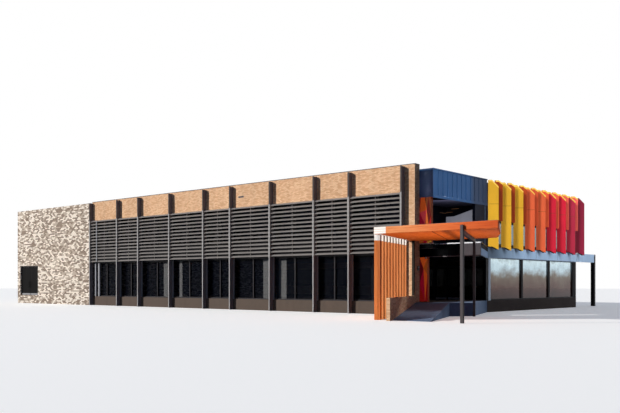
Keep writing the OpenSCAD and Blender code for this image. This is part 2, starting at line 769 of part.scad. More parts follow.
module rear_walls() on_plan() color("burlywood") {
    difference() {
        block([main_x0, inner_y, floor_z], [inner_x, block_d, wing_head]);
        for (n = [0:rear_windows - 1], z = window_sills)
            translate([window_x(n), 0, z])
                block([0, inner_y - cut, 0], [rear_window_w, block_d + cut, rear_window_h]);
    }
    block([pavilion_x0 + wall_t, inner_y, floor_z], [main_x0 - wall_t, block_d, pavilion_top]);
}

module rear_frames() on_plan() color("darkslategray")
    for (n = [0:rear_windows - 1], z = window_sills)
        translate([0, block_d - reveal - bar_d, 0])
            bar_grid(window_x(n), window_x(n) + rear_window_w, z, z + rear_window_h,
                     [window_x(n) + rear_window_w / 2]);

module rear_glass() on_plan() color("lightblue", 0.5)
    for (z = window_sills)
        block([main_x0, inner_y - glass_t, z - bar_w],
              [inner_x, inner_y, z + rear_window_h + bar_w]);

main_podium();
pavilion_podium();
entry_ramp();
ramp_wall();
first_floor();
roof_slab();
corner_pier();
front_spandrel();
front_parapet();
front_coping();
front_fins();
front_posts();
front_louvres();
front_frames();
front_glass();
pavilion_front_piers();
pavilion_front_lintel();
pavilion_side_walls();
pavilion_roof();
pavilion_door_frame();
pavilion_left_leaf();
pavilion_right_leaf();
panel_walls();
entry_side_walls();
entry_awning();
entry_screen();
entry_screen_glass();
entry_left_leaf();
entry_right_leaf();
entry_left_pane();
entry_right_pane();
terrace_walls();
terrace_ceiling();
metal_box();
blade_wall();
wing_frames();
wing_glass();
wing_beam();
yellow_blades();
orange_blades();
red_blades();
crimson_blades();
short_blades();
blade_rails();
rear_porch();
porch_posts();
canopy_roof();
timber_screen();
steel_portal();
rear_walls();
rear_frames();
rear_glass();
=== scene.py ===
"""School building with a louvred brick front, a checkered pavilion and a wall of coloured blades.

The looks of the 1:2 model. Every length is in metres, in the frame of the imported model. The plan
is set out from the right-hand corner of the long front, as in the part's own source.
"""

import math

import bmesh
import bpy
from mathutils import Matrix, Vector


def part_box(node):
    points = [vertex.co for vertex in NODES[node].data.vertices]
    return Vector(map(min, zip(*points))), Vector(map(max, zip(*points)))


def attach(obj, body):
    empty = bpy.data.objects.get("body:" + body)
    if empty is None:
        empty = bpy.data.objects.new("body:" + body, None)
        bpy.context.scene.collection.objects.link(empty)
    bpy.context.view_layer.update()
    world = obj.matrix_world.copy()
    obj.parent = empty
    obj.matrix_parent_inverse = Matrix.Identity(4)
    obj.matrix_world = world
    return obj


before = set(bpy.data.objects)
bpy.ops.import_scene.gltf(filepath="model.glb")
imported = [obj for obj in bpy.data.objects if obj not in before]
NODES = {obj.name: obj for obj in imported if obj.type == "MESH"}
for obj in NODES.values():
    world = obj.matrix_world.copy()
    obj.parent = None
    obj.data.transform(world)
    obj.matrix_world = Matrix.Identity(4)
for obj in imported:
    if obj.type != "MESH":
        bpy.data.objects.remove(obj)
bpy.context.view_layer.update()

# Places taken from the frame

PIER_LOW, PIER_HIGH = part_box("corner_pier")
CORNER_X, FRONT_Y = PIER_HIGH.x, PIER_LOW.y
BLADE_WALL_LOW, BLADE_WALL_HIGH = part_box("blade_wall")
BOX_LOW, BOX_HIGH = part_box("metal_box")
BEAM_LOW, BEAM_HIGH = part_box("wing_beam")
CANOPY_LOW, CANOPY_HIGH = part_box("canopy_roof")
FLOOR_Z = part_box("main_podium")[1].z
UPPER_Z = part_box("first_floor")[1].z
ROOF_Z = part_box("roof_slab")[1].z
SPANDREL_FOOT_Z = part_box("front_spandrel")[0].z
LOUVRE_HEAD_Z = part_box("front_louvres")[1].z
WING_HEAD_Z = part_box("wing_frames")[1].z
SCREEN_HEAD_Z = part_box("timber_screen")[1].z


def plan(x, y, z=0.0):
    """A point set out from the corner of the long front, in the frame's metres."""
    return Vector((CORNER_X + x, FRONT_Y + y, z))


def new_object(name, data):
    made = bpy.data.objects.new(name, data)
    bpy.context.scene.collection.objects.link(made)
    return made


# Camera, at the photograph's place: eye height, distance and turn as in the photograph

EYE = (13.175, -20.02, 0.975)
VIEW_TURN = 41.05
LENS = 45.0
SENSOR = 36.0
HORIZON_DROP = 77.0
PICTURE_WIDTH = 620.0
NEAREST, FARTHEST = 0.1, 500.0


def add_camera():
    data = bpy.data.cameras.new("camera")
    data.lens = LENS
    data.sensor_width = SENSOR
    data.shift_y = HORIZON_DROP / PICTURE_WIDTH
    data.clip_start = NEAREST
    data.clip_end = FARTHEST
    camera = new_object("camera", data)
    camera.location = plan(*EYE)
    camera.rotation_euler = (math.radians(90), 0, math.radians(VIEW_TURN))
    bpy.context.scene.camera = camera


add_camera()


def srgb(red, green, blue):
    """A colour written as on a screen, from 0 to 255, as the renderer's linear values."""
    parts = [v / 255 for v in (red, green, blue)]
    return tuple(p / 12.92 if p <= 0.04045 else ((p + 0.055) / 1.055) ** 2.4 for p in parts) + (1.0,)


# Node trees

COLOUR = "NodeSocketColor"
VALUE = "NodeSocketFloat"
VECTOR = "NodeSocketVector"
WHITE = (1.0, 1.0, 1.0, 1.0)
BLACK = (0.0, 0.0, 0.0, 1.0)
NOISE_LOW, NOISE_HIGH = 0.3, 0.7


class Tree:
    """Adds nodes to a tree. Each method but node(), link() and end() gives the new node's main output."""

    def __init__(self, tree):
        self.tree = tree

    def node(self, kind, inputs=None, **settings):
        made = self.tree.nodes.new(kind)
        for key, value in settings.items():
            setattr(made, key, value)
        for key, value in (inputs or {}).items():
            if isinstance(value, bpy.types.NodeSocket):
                self.link(value, made.inputs[key])
            else:
                made.inputs[key].default_value = value
        return made

    def link(self, output, target):
        self.tree.links.new(output, target)

    def place(self):
        """The point on the surface, in the frame's metres."""
        return self.node("ShaderNodeTexCoord").outputs["Object"]

    def math(self, operation, *values):
        return self.node("ShaderNodeMath", dict(enumerate(values)), operation=operation).outputs[0]

    def scaled(self, vector, factors):
        return self.node("ShaderNodeVectorMath", {0: vector, 1: factors}, operation="MULTIPLY").outputs[0]

    def dimmed(self, colour, factor):
        return self.node("ShaderNodeVectorMath", {0: colour, 3: factor}, operation="SCALE").outputs[0]

    def mix(self, factor, low, high):
        made = self.node("ShaderNodeMix", {0: factor, 6: low, 7: high}, data_type="RGBA")
        return made.outputs[2]

    def noise(self, vector, scale=1.0, detail=3.0, roughness=0.55):
        inputs = {"Vector": vector, "Scale": scale, "Detail": detail, "Roughness": roughness}
        return self.node("ShaderNodeTexNoise", inputs).outputs["Fac"]

    def spread(self, value, low, high, to_low=0.0, to_high=1.0):
        inputs = {"Value": value, "From Min": low, "From Max": high, "To Min": to_low, "To Max": to_high}
        return self.node("ShaderNodeMapRange", inputs).outputs["Result"]

    def vary(self, noise, to_low, to_high):
        """Spreads the usual span of a noise between two values."""
        return self.spread(noise, NOISE_LOW, NOISE_HIGH, to_low, to_high)

    def bump(self, height, distance, strength=1.0, normal=None):
        inputs = {"Height": height, "Distance": distance, "Strength": strength}
        if normal is not None:
            inputs["Normal"] = normal
        return self.node("ShaderNodeBump", inputs).outputs["Normal"]

    def parts(self, vector):
        return self.node("ShaderNodeSeparateXYZ", {0: vector}).outputs

    def joined(self, x, y, z):
        return self.node("ShaderNodeCombineXYZ", {0: x, 1: y, 2: z}).outputs[0]

    def end(self, **outputs):
        """Links the group's outputs by name."""
        made = self.tree.nodes.new("NodeGroupOutput")
        for key, value in outputs.items():
            self.link(value, made.inputs[key])


def new_group(name, sockets, outputs):
    """A node group with the given input sockets, as (name, kind, start value), and outputs."""
    tree = bpy.data.node_groups.new(name, "ShaderNodeTree")
    for label, kind, value in sockets:
        tree.interface.new_socket(label, in_out="INPUT", socket_type=kind).default_value = value
    for label, kind in outputs:
        tree.interface.new_socket(label, in_out="OUTPUT", socket_type=kind)
    made = Tree(tree)
    return made, tree.nodes.new("NodeGroupInput").outputs


SURFACE = [("Colour", COLOUR), ("Roughness", VALUE), ("Normal", VECTOR)]
DUST = srgb(96, 90, 84)
DUST_SHARE = 0.5
DIRT_FROM, DIRT_FULL = 0.5, 0.78
DIRT_ROUGHNESS = 0.35


def make_coated():
    """Powder-coated metal: slight unevenness of the sheet, orange peel and rain streaks."""
    t, given = new_group("coated_metal", [("Colour", COLOUR, WHITE), ("Streaks", VALUE, 0.3),
                                          ("Sheen", VALUE, 0.38)], SURFACE)
    place = t.place()
    broad = t.noise(place, scale=0.9, detail=3)
    speck = t.noise(place, scale=45.0, detail=4)
    runs = t.noise(t.scaled(place, (8.0, 8.0, 0.5)), detail=5, roughness=0.6)
    dirt = t.math("MULTIPLY", t.spread(runs, DIRT_FROM, DIRT_FULL), given["Streaks"])
    clean = t.dimmed(given["Colour"], t.vary(broad, 0.9, 1.08))
    dusty = t.mix(DUST_SHARE, t.dimmed(clean, 0.6), DUST)
    colour = t.mix(dirt, clean, dusty)
    colour = t.dimmed(colour, t.vary(speck, 0.96, 1.04))
    rough = t.math("ADD", given["Sheen"], t.math("MULTIPLY", dirt, DIRT_ROUGHNESS))
    rough = t.math("ADD", rough, t.vary(speck, -0.05, 0.05))
    sheet = t.bump(broad, distance=0.012, strength=0.5)
    peel = t.noise(place, scale=300.0, detail=2)
    normal = t.bump(peel, distance=0.0006, strength=0.35, normal=sheet)
    t.end(Colour=colour, Roughness=rough, Normal=normal)
    return t.tree


FACING = 0.6
SECOND_TONE_FROM, THIRD_TONE_FROM = 0.36, 0.68
MORTAR_SOFTNESS = 0.15


def make_masonry():
    """Coursed bricks or blocks in three tones at random, on walls that face any way."""
    t, given = new_group(
        "masonry",
        [("First", COLOUR, WHITE), ("Second", COLOUR, WHITE), ("Third", COLOUR, WHITE),
         ("Mortar", COLOUR, WHITE), ("Length", VALUE, 0.11), ("Height", VALUE, 0.0375),
         ("Joint", VALUE, 0.003)], SURFACE)
    coordinates = t.node("ShaderNodeTexCoord").outputs
    place = coordinates["Object"]
    x, y, z = t.parts(place)
    facing = t.parts(coordinates["Normal"])
    sideways = t.math("GREATER_THAN", t.math("ABSOLUTE", facing[0]), FACING)
    upwards = t.math("GREATER_THAN", t.math("ABSOLUTE", facing[2]), FACING)
    run = t.math("ADD", x, t.math("MULTIPLY", sideways, t.math("SUBTRACT", y, x)))
    rise = t.math("ADD", z, t.math("MULTIPLY", upwards, t.math("SUBTRACT", y, z)))
    inputs = {"Vector": t.joined(run, rise, 0.0), "Color1": BLACK, "Color2": WHITE, "Mortar": BLACK,
              "Scale": 1.0, "Mortar Size": given["Joint"], "Mortar Smooth": MORTAR_SOFTNESS,
              "Bias": 0.0, "Brick Width": given["Length"], "Row Height": given["Height"]}
    bricks = t.node("ShaderNodeTexBrick", inputs)
    chance, joint = bricks.outputs["Color"], bricks.outputs["Fac"]
    colour = t.mix(t.math("GREATER_THAN", chance, SECOND_TONE_FROM), given["First"], given["Second"])
    colour = t.mix(t.math("GREATER_THAN", chance, THIRD_TONE_FROM), colour, given["Third"])
    grit = t.noise(place, scale=90.0, detail=5, roughness=0.65)
    broad = t.noise(place, scale=0.7, detail=4)
    runs = t.noise(t.scaled(place, (3.5, 3.5, 0.4)), detail=5, roughness=0.6)
    colour = t.mix(joint, colour, given["Mortar"])
    colour = t.dimmed(colour, t.spread(grit, 0.25, 0.75, 0.88, 1.1))
    colour = t.dimmed(colour, t.vary(broad, 0.93, 1.06))
    colour = t.dimmed(colour, t.spread(runs, 0.45, 0.8, 1.0, 0.86))
    rough = t.spread(grit, 0.2, 0.8, 0.75, 0.95)
    height = t.math("SUBTRACT", t.math("MULTIPLY", grit, 0.35), joint)
    t.end(Colour=colour, Roughness=rough, Normal=t.bump(height, distance=0.004, strength=0.8))
    return t.tree


BOARD_SHIFT = 23.0
BOARD_JOINT_FROM, BOARD_JOINT_FULL = 0.455, 0.49
BOARD_JOINT_DARK = 0.4


def make_timber():
    """Boards: along is the grain's direction in x, boards lie side by side in y."""
    t, given = new_group("timber_boards", [("Along", VECTOR, (0, 0, 0)), ("Colour", COLOUR, WHITE),
                                           ("Dark", COLOUR, WHITE), ("Board", VALUE, 0.07)], SURFACE)
    x, y, z = t.parts(given["Along"])
    steps = t.math("DIVIDE", y, given["Board"])
    number = t.math("FLOOR", steps)
    chance = t.node("ShaderNodeTexWhiteNoise", {"W": number}, noise_dimensions="1D").outputs["Value"]
    shifted = t.joined(t.math("ADD", x, t.math("MULTIPLY", chance, BOARD_SHIFT)), y, z)
    grain = t.noise(t.scaled(shifted, (1.6, 34.0, 34.0)), detail=5, roughness=0.6)
    fine = t.noise(t.scaled(shifted, (9.0, 260.0, 260.0)), detail=3)
    edge = t.math("ABSOLUTE", t.math("SUBTRACT", t.math("FRACT", steps), 0.5))
    joint = t.spread(edge, BOARD_JOINT_FROM, BOARD_JOINT_FULL)
    colour = t.mix(t.spread(grain, 0.35, 0.72), given["Colour"], given["Dark"])
    colour = t.dimmed(colour, t.spread(chance, 0.0, 1.0, 0.84, 1.12))
    colour = t.dimmed(colour, t.vary(fine, 0.94, 1.05))
    colour = t.dimmed(colour, t.spread(joint, 0.0, 1.0, 1.0, BOARD_JOINT_DARK))
    rough = t.vary(grain, 0.45, 0.62)
    height = t.math("SUBTRACT", t.math("MULTIPLY", grain, 0.2), joint)
    t.end(Colour=colour, Roughness=rough, Normal=t.bump(height, distance=0.004, strength=0.7))
    return t.tree


def make_concrete():
    """Cast or screeded concrete: mottled and grainy, with stains and small pores."""
    t, given = new_group("concrete", [("Colour", COLOUR, WHITE), ("Stain", VALUE, 0.3)], SURFACE)
    place = t.place()
    mottle = t.noise(place, scale=2.2, detail=6, roughness=0.62)
    grit = t.noise(place, scale=120.0, detail=4)
    runs = t.noise(t.scaled(place, (4.0, 4.0, 0.6)), detail=5)
    pores = t.node("ShaderNodeTexVoronoi", {"Vector": place, "Scale": 55.0}).outputs["Distance"]
    pit = t.spread(pores, 0.05, 0.16, 1.0, 0.0)
    colour = t.dimmed(given["Colour"], t.vary(mottle, 0.84, 1.1))
    stain = t.math("MULTIPLY", t.spread(runs, 0.5, 0.8), given["Stain"])
    colour = t.mix(stain, colour, t.dimmed(colour, 0.55))
    colour = t.dimmed(colour, t.vary(grit, 0.93, 1.05))
    rough = t.vary(mottle, 0.7, 0.92)
    height = t.math("SUBTRACT", t.math("MULTIPLY", grit, 0.4), pit)
    t.end(Colour=colour, Roughness=rough, Normal=t.bump(height, distance=0.003, strength=0.6))
    return t.tree


COATED = make_coated()
MASONRY = make_masonry()
TIMBER = make_timber()
CONCRETE = make_concrete()

# Materials. Tones are screen colours, from 0 to 255. Gloss is the strength of plain reflections.

MASONRY_GLOSS = 0.15
TIMBER_GLOSS = 0.08
GLASS_IOR = 1.5


def plain_material(name):
    """A material with its tree and its shader."""
    material = bpy.data.materials.new(name)
    material.use_nodes = True
    return material, Tree(material.node_tree), material.node_tree.nodes["Principled BSDF"]


def new_material(name, group, inputs, gloss):
    """A material whose shader takes its colour, roughness and normal from a surface group."""
    material, t, shader = plain_material(name)
    shader.inputs["Specular IOR Level"].default_value = gloss
    surface = t.node("ShaderNodeGroup", node_tree=group)
    for key, value in inputs.items():
        surface.inputs[key].default_value = value
    for output, target in (("Colour", "Base Color"), ("Roughness", "Roughness"), ("Normal", "Normal")):
        t.link(surface.outputs[output], shader.inputs[target])
    return material, t, surface, shader


def coated(name, tone, streaks=0.3, sheen=0.38, gloss=0.3):
    inputs = {"Colour": srgb(*tone), "Streaks": streaks, "Sheen": sheen}
    return new_material(name, COATED, inputs, gloss)[0]


def masonry(name, tones, mortar, length, height, joint):
    inputs = {"Mortar": srgb(*mortar), "Length": length, "Height": height, "Joint": joint}
    for key, tone in zip(("First", "Second", "Third"), tones):
        inputs[key] = srgb(*tone)
    return new_material(name, MASONRY, inputs, MASONRY_GLOSS)[0]


def concrete(name, tone, stain=0.3):
    return new_material(name, CONCRETE, {"Colour": srgb(*tone), "Stain": stain}, MASONRY_GLOSS)[0]


def timber(name, tone, dark, board, turn, upright=False):
    """Boards whose grain runs along a plan direction, in degrees from +X, or upright."""
    inputs = {"Colour": srgb(*tone), "Dark": srgb(*dark), "Board": board}
    material, t, surface, shader = new_material(name, TIMBER, inputs, TIMBER_GLOSS)
    x, y, z = t.parts(t.place())
    cosine, sine = math.cos(math.radians(turn)), math.sin(math.radians(turn))
    along = t.math("ADD", t.math("MULTIPLY", x, cosine), t.math("MULTIPLY", y, sine))
    across = t.math("SUBTRACT", t.math("MULTIPLY", y, cosine), t.math("MULTIPLY", x, sine))
    vector = t.joined(z, along, across) if upright else t.joined(along, across, z)
    t.link(vector, surface.inputs["Along"])
    return material, t, surface, shader


def ramp_of(t, value, stops):
    """A colour that changes with a value, through the given (place, colour) stops."""
    made = t.node("ShaderNodeValToRGB", {"Fac": value})
    ends = made.color_ramp.elements
    ends[0].position, ends[0].color = stops[0]
    ends[1].position, ends[1].color = stops[-1]
    for place, colour in stops[1:-1]:
        ends.new(place).color = colour
    return made.outputs["Color"]


def tone_ramp(t, value, stops):
    """The same, with tones in its stops."""
    return ramp_of(t, value, [(place, srgb(*tone)) for place, tone in stops])


def glass(name, tone, opacity, gloss=0.5, metallic=0.0, stops=None, wave=0.25):
    """Tinted sheet glass with faint waves and dust, in bands of tone by height if stops are given: painted
    reflections, with blotchy edges.
    """
    material, t, shader = plain_material(name)
    place = t.place()
    dust = t.noise(t.scaled(place, (3.0, 3.0, 1.2)), detail=5, roughness=0.6)
    if stops:
        reflection_blotch = t.noise(t.scaled(place, (1.3, 1.3, 2.2)), detail=4, roughness=0.6)
        level = t.math("ADD", t.parts(place)[2], t.vary(reflection_blotch, -0.16, 0.16))
        colour = tone_ramp(t, t.spread(level, FLOOR_Z, WING_HEAD_Z), stops)
    else:
        colour = srgb(*tone)[:3]
    t.link(t.dimmed(colour, t.vary(dust, 0.85, 1.12)), shader.inputs["Base Color"])
    t.link(t.spread(dust, 0.45, 0.75, 0.02, 0.08), shader.inputs["Roughness"])
    waves = t.bump(t.noise(place, scale=1.6, detail=2), distance=0.004, strength=wave)
    t.link(waves, shader.inputs["Normal"])
    shader.inputs["Metallic"].default_value = metallic
    shader.inputs["Alpha"].default_value = opacity
    shader.inputs["IOR"].default_value = GLASS_IOR
    shader.inputs["Specular IOR Level"].default_value = gloss
    return material


BRICK = {"length": 0.1125, "height": 0.0375, "joint": 0.0026}
BLOCK = {"length": 0.15, "height": 0.06, "joint": 0.0028}
TAN = masonry("tan_brick", ((234, 188, 148), (222, 172, 131), (244, 202, 162)), (200, 166, 136), **BRICK)
CHECKER = masonry("checker_blocks", ((255, 244, 231), (196, 180, 164), (140, 122, 108)),
                  (196, 182, 166), **BLOCK)
PLAIN_CONCRETE = concrete("cast_concrete", (128, 126, 124))
PLINTH = concrete("rendered_plinth", (92, 80, 72))
RAMP_CONCRETE = concrete("ramp_concrete", (104, 124, 152), stain=0.4)
CHARCOAL = coated("charcoal_coat", (40, 38, 42), gloss=0.12)
BLACK_COAT = coated("black_coat", (26, 24, 28), streaks=0.2, gloss=0.08)
COPING = coated("coping_coat", (70, 68, 72), gloss=0.15)
LOUVRE = coated("louvre_coat", (130, 126, 124), streaks=0.35, sheen=0.42, gloss=0.15)
POST = coated("post_coat", (150, 152, 158), streaks=0.2)
PALE_BLUE = coated("porch_coat", (204, 228, 252), gloss=0.15)
BOX_FRONT_PAINTED_SHADE = coated("box_front_shade_coat", (36, 46, 76), streaks=0.15, sheen=0.3, gloss=0.06)
NAVY = coated("navy_coat", (8, 12, 20), streaks=0.15, sheen=0.25, gloss=0.06)
WALL_POST = coated("wall_post_paint", (44, 40, 34), sheen=0.5, gloss=0.05)
STEEL = coated("portal_paint", (70, 64, 67), streaks=0.35, sheen=0.45, gloss=0.15)
AWNING_GREY = coated("awning_grey_coat", (120, 112, 112), sheen=0.4, gloss=0.1)
AWNING_END = coated("awning_end_coat", (100, 128, 160), sheen=0.4, gloss=0.15)
AWNING_SHADE = coated("awning_shade_coat", (14, 15, 20), streaks=0.15, sheen=0.6, gloss=0.02)
DOOR = coated("door_paint", (17, 16, 17), streaks=0.2, sheen=0.42, gloss=0.02)
TERRACE = coated("terrace_lining", (52, 56, 72), streaks=0.2, sheen=0.5, gloss=0.1)
CEILING = coated("terrace_ceiling_lining", (64, 62, 80), streaks=0.2, sheen=0.5, gloss=0.1)
# The pale tone of the terrace's rear panel is a painted pool of light
LIGHT_PATCH_PAINT = coated("painted_light_patch", (192, 189, 200), streaks=0.15, sheen=0.5, gloss=0.1)
DARK_BLADE_WALL = coated("wall_lining", (58, 52, 56), gloss=0.1)
YELLOW = coated("yellow_coat", (226, 176, 50), streaks=0.25, gloss=0.06)
ORANGE = coated("orange_coat", (226, 102, 64), streaks=0.25, gloss=0.06)
RED = coated("red_coat", (214, 34, 62), streaks=0.25, gloss=0.06)
GOLD_AND_SUNLIT_HEAD = coated("golden_cap_sunlit_head", (255, 216, 96), streaks=0.15, gloss=0.1)
JOINT_BROWN = coated("joint_sealant", (112, 66, 28), streaks=0.1, sheen=0.6, gloss=0.1)
DARK_TIMBER = coated("soffit_joint_stain", (92, 40, 18), streaks=0.1, sheen=0.6, gloss=0.1)
GREY_TRIM = coated("grey_trim", (112, 104, 108))
BROWN_TRIM = coated("brown_trim", (150, 108, 78), streaks=0.1)
HEAD_TRIM = coated("head_trim", (92, 112, 138), streaks=0.2)
JAMB_GREY = coated("jamb_cover", (132, 142, 154), streaks=0.2)
JAMB_BLUE = coated("jamb_strip_coat", (72, 90, 112), streaks=0.2)
WHITE_TRIM = coated("white_trim", (235, 238, 245), streaks=0.2)
WHITE_PAINT = coated("white_paint", (255, 252, 246), streaks=0.12, sheen=0.5)
CANOPY_SHEET = coated("canopy_sheet_coat", (98, 100, 105), streaks=0.4, sheen=0.7, gloss=0.05)
ROOFING = coated("roof_sheet", (150, 152, 154), streaks=0.5, sheen=0.75, gloss=0.02)
BLIND = coated("blind_slats", (250, 250, 250), streaks=0.1, sheen=0.6)
DARK_BLIND = coated("dark_blind", (90, 100, 118), streaks=0.1, sheen=0.6)
LAMP = coated("lamp_glass", (240, 240, 232), streaks=0.05, sheen=0.3)
BRUSHED = coated("brushed_plate", (150, 150, 154), streaks=0.2, sheen=0.3)
WINDOW_GLASS = glass("window_glass", (14, 17, 26), opacity=0.42, gloss=0.04, wave=0.06)
REAR_GLASS = glass("rear_window_glass", (16, 18, 22), opacity=0.97)
DOOR_GLASS = glass("door_glass", (14, 16, 20), opacity=0.6, gloss=0.15)
# Bands of painted reflection by height: dark ground low down, a bright band of sky at the horizon, greyer
# above
WING_GLASS_PAINTED_REFLECTION = glass("wing_glass", None, opacity=0.88, metallic=0.75, stops=[
    (0.0, (54, 40, 38)), (0.16, (88, 62, 56)), (0.3, (116, 104, 92)), (0.42, (204, 228, 238)),
    (0.5, (226, 248, 255)), (0.62, (120, 136, 134)), (1.0, (150, 164, 166))])

PANEL_TONES = {
    "dark_crimson": (96, 14, 26), "orange": (214, 90, 36), "deep_red": (150, 22, 20),
    "crimson": (160, 14, 46), "pink_red": (212, 66, 74), "brown_orange": (172, 84, 34),
    "gold": (206, 158, 60), "brown": (92, 44, 22), "shade_crimson": (74, 14, 14),
}
PANEL_NAMES = list(PANEL_TONES)
PANEL_COATS = [coated("panel_" + name, PANEL_TONES[name], streaks=0.2, sheen=0.6, gloss=0.03)
               for name in PANEL_NAMES]

# Timbers. A board of the timber group this wide has no joints of its own, because the boards are modelled.

ONE_BOARD = 4.0
FASCIA_BOARD = 0.2
SCREEN_ANGLE = 109.0
SOFFIT_ANGLE = 115.1
HEAD_TONE_FROM_Z = 2.125
FASCIA_FROM_X, FASCIA_TO_X = 0.9, 4.4
FASCIA_TINTS = [(0.0, WHITE), (0.24, WHITE), (0.61, (0.92, 0.56, 0.36, 1.0)),
                (0.89, (0.79, 0.37, 0.19, 1.0)), (1.0, (0.74, 0.33, 0.17, 1.0))]


def make_fascia_timber():
    """Long boards, paler towards the white painted corner and darker towards the far end."""
    material, t, surface, shader = timber("timber_fascia", (239, 155, 97), (218, 126, 72), FASCIA_BOARD, 0.0)
    share = t.spread(t.parts(t.place())[0], CORNER_X + FASCIA_FROM_X, CORNER_X + FASCIA_TO_X)
    tint = ramp_of(t, share, FASCIA_TINTS)
    t.link(t.scaled(surface.outputs["Colour"], tint), shader.inputs["Base Color"])
    return material


def make_screen_timber(name, tone, dark, head=(255, 252, 246)):
    """Upright boards of the screen, with another tone along the head."""
    material, t, surface, shader = timber(name, tone, dark, ONE_BOARD, SCREEN_ANGLE, upright=True)
    head_band = t.math("GREATER_THAN", t.parts(t.place())[2], HEAD_TONE_FROM_Z)
    t.link(t.mix(head_band, surface.outputs["Colour"], srgb(*head)), shader.inputs["Base Color"])
    return material


TIMBER_FACE = make_fascia_timber()
TIMBER_SOFFIT = timber("timber_soffit", (244, 118, 46), (208, 84, 28), ONE_BOARD, SOFFIT_ANGLE)[0]
SCREEN_TIMBER = make_screen_timber("timber_screen", (250, 150, 86), (228, 116, 60))
BATTEN_TIMBER = make_screen_timber("timber_battens", (244, 160, 98), (216, 126, 72))
END_TIMBER = make_screen_timber("timber_end", (238, 140, 76), (212, 114, 60), (244, 242, 238))
# The boards between the battens are dark brown along the head, where they are white paint in shade: painted
# shade
BOARD_TIMBER_SHADED_HEAD = make_screen_timber("timber_boards", (240, 146, 84), (206, 112, 60), (104, 78, 64))

# Coats whose tone changes along a wall, mostly as painted shade, and coats that follow the way a face looks,
# with a painted highlight


def make_wall_coat(name, stops, low=BLADE_WALL_LOW.y, high=BLADE_WALL_HIGH.y):
    """A coat that changes along the side of the building."""
    material, t, surface, shader = new_material(name, COATED, {"Streaks": 0.3, "Sheen": 0.36}, 0.06)
    share = t.spread(t.parts(t.place())[1], low, high)
    t.link(tone_ramp(t, share, stops), surface.inputs["Colour"])
    return material


# The beam is painted darker over its end by the entry, as painted shade
BEAM_WITH_PAINTED_SHADE = make_wall_coat("beam_coat_painted_shade", [
    (0.0, (90, 108, 126)), (0.08, (98, 116, 134)), (0.36, (200, 228, 255)), (1.0, (204, 230, 255))])
CRIMSON = make_wall_coat("crimson_coat", [
    (0.0, (178, 44, 72)), (0.93, (178, 44, 72)), (0.975, (142, 34, 64)), (1.0, (142, 34, 64))])
# The box's blue turns darker and greyer over its rear end, as painted shade of the first blade
BLUE_WITH_PAINTED_SHADE = make_wall_coat("blue_coat_painted_shade", [
    (0.0, (64, 104, 152)), (0.66, (64, 104, 152)), (0.74, (66, 82, 108)), (1.0, (64, 78, 102))],
    BOX_LOW.y, BOX_HIGH.y)
# The short blades are painted darker towards the entry end of the wall, as painted shade between the long
# blades
SHORT_BLADE_PAINTED_SHADE = make_wall_coat("short_blade_coat_painted_shade", [
    (0.0, (152, 60, 22)), (0.3, (172, 67, 27)), (0.44, (222, 90, 54)), (0.6, (244, 98, 60)),
    (1.0, (250, 106, 104))])

# Fin tones: the sides, the front edge painted pale as sunlit (a painted highlight), and the front edge above
# the louvres
FIN_SIDE, FIN_SUNLIT_EDGE, FIN_HEAD_EDGE = (126, 120, 122), (158, 157, 158), (62, 56, 58)
WALL_DARK = (46, 46, 52)
PANELS_FROM_X = -0.251


def make_fin_coat():
    """Flat bars with a pale front edge up to the head of the louvres: the front faces are painted paler than
    the sides there, as a painted highlight of the sun on the front edge, and darker above it.
    """
    material, t, surface, shader = new_material("fin_coat", COATED, {"Streaks": 0.3, "Sheen": 0.4}, 0.1)
    coordinates = t.node("ShaderNodeTexCoord").outputs
    lit_front_mask = t.math("GREATER_THAN", t.math("ABSOLUTE", t.parts(coordinates["Normal"])[1]), FACING)
    low = t.math("LESS_THAN", t.parts(coordinates["Object"])[2], LOUVRE_HEAD_Z)
    edge = t.mix(low, srgb(*FIN_HEAD_EDGE), srgb(*FIN_SUNLIT_EDGE))
    t.link(t.mix(lit_front_mask, srgb(*FIN_SIDE), edge), surface.inputs["Colour"])
    return material


def make_panel_wall_coat():
    """Orange behind the triangles, and dark where the wall runs on behind the glazing."""
    material, t, surface, shader = new_material("panel_wall_coat", COATED, {"Streaks": 0.2}, 0.1)
    beyond = t.math("LESS_THAN", t.parts(t.place())[0], CORNER_X + PANELS_FROM_X)
    t.link(t.mix(beyond, srgb(*PANEL_TONES["orange"]), srgb(*WALL_DARK)), surface.inputs["Colour"])
    return material


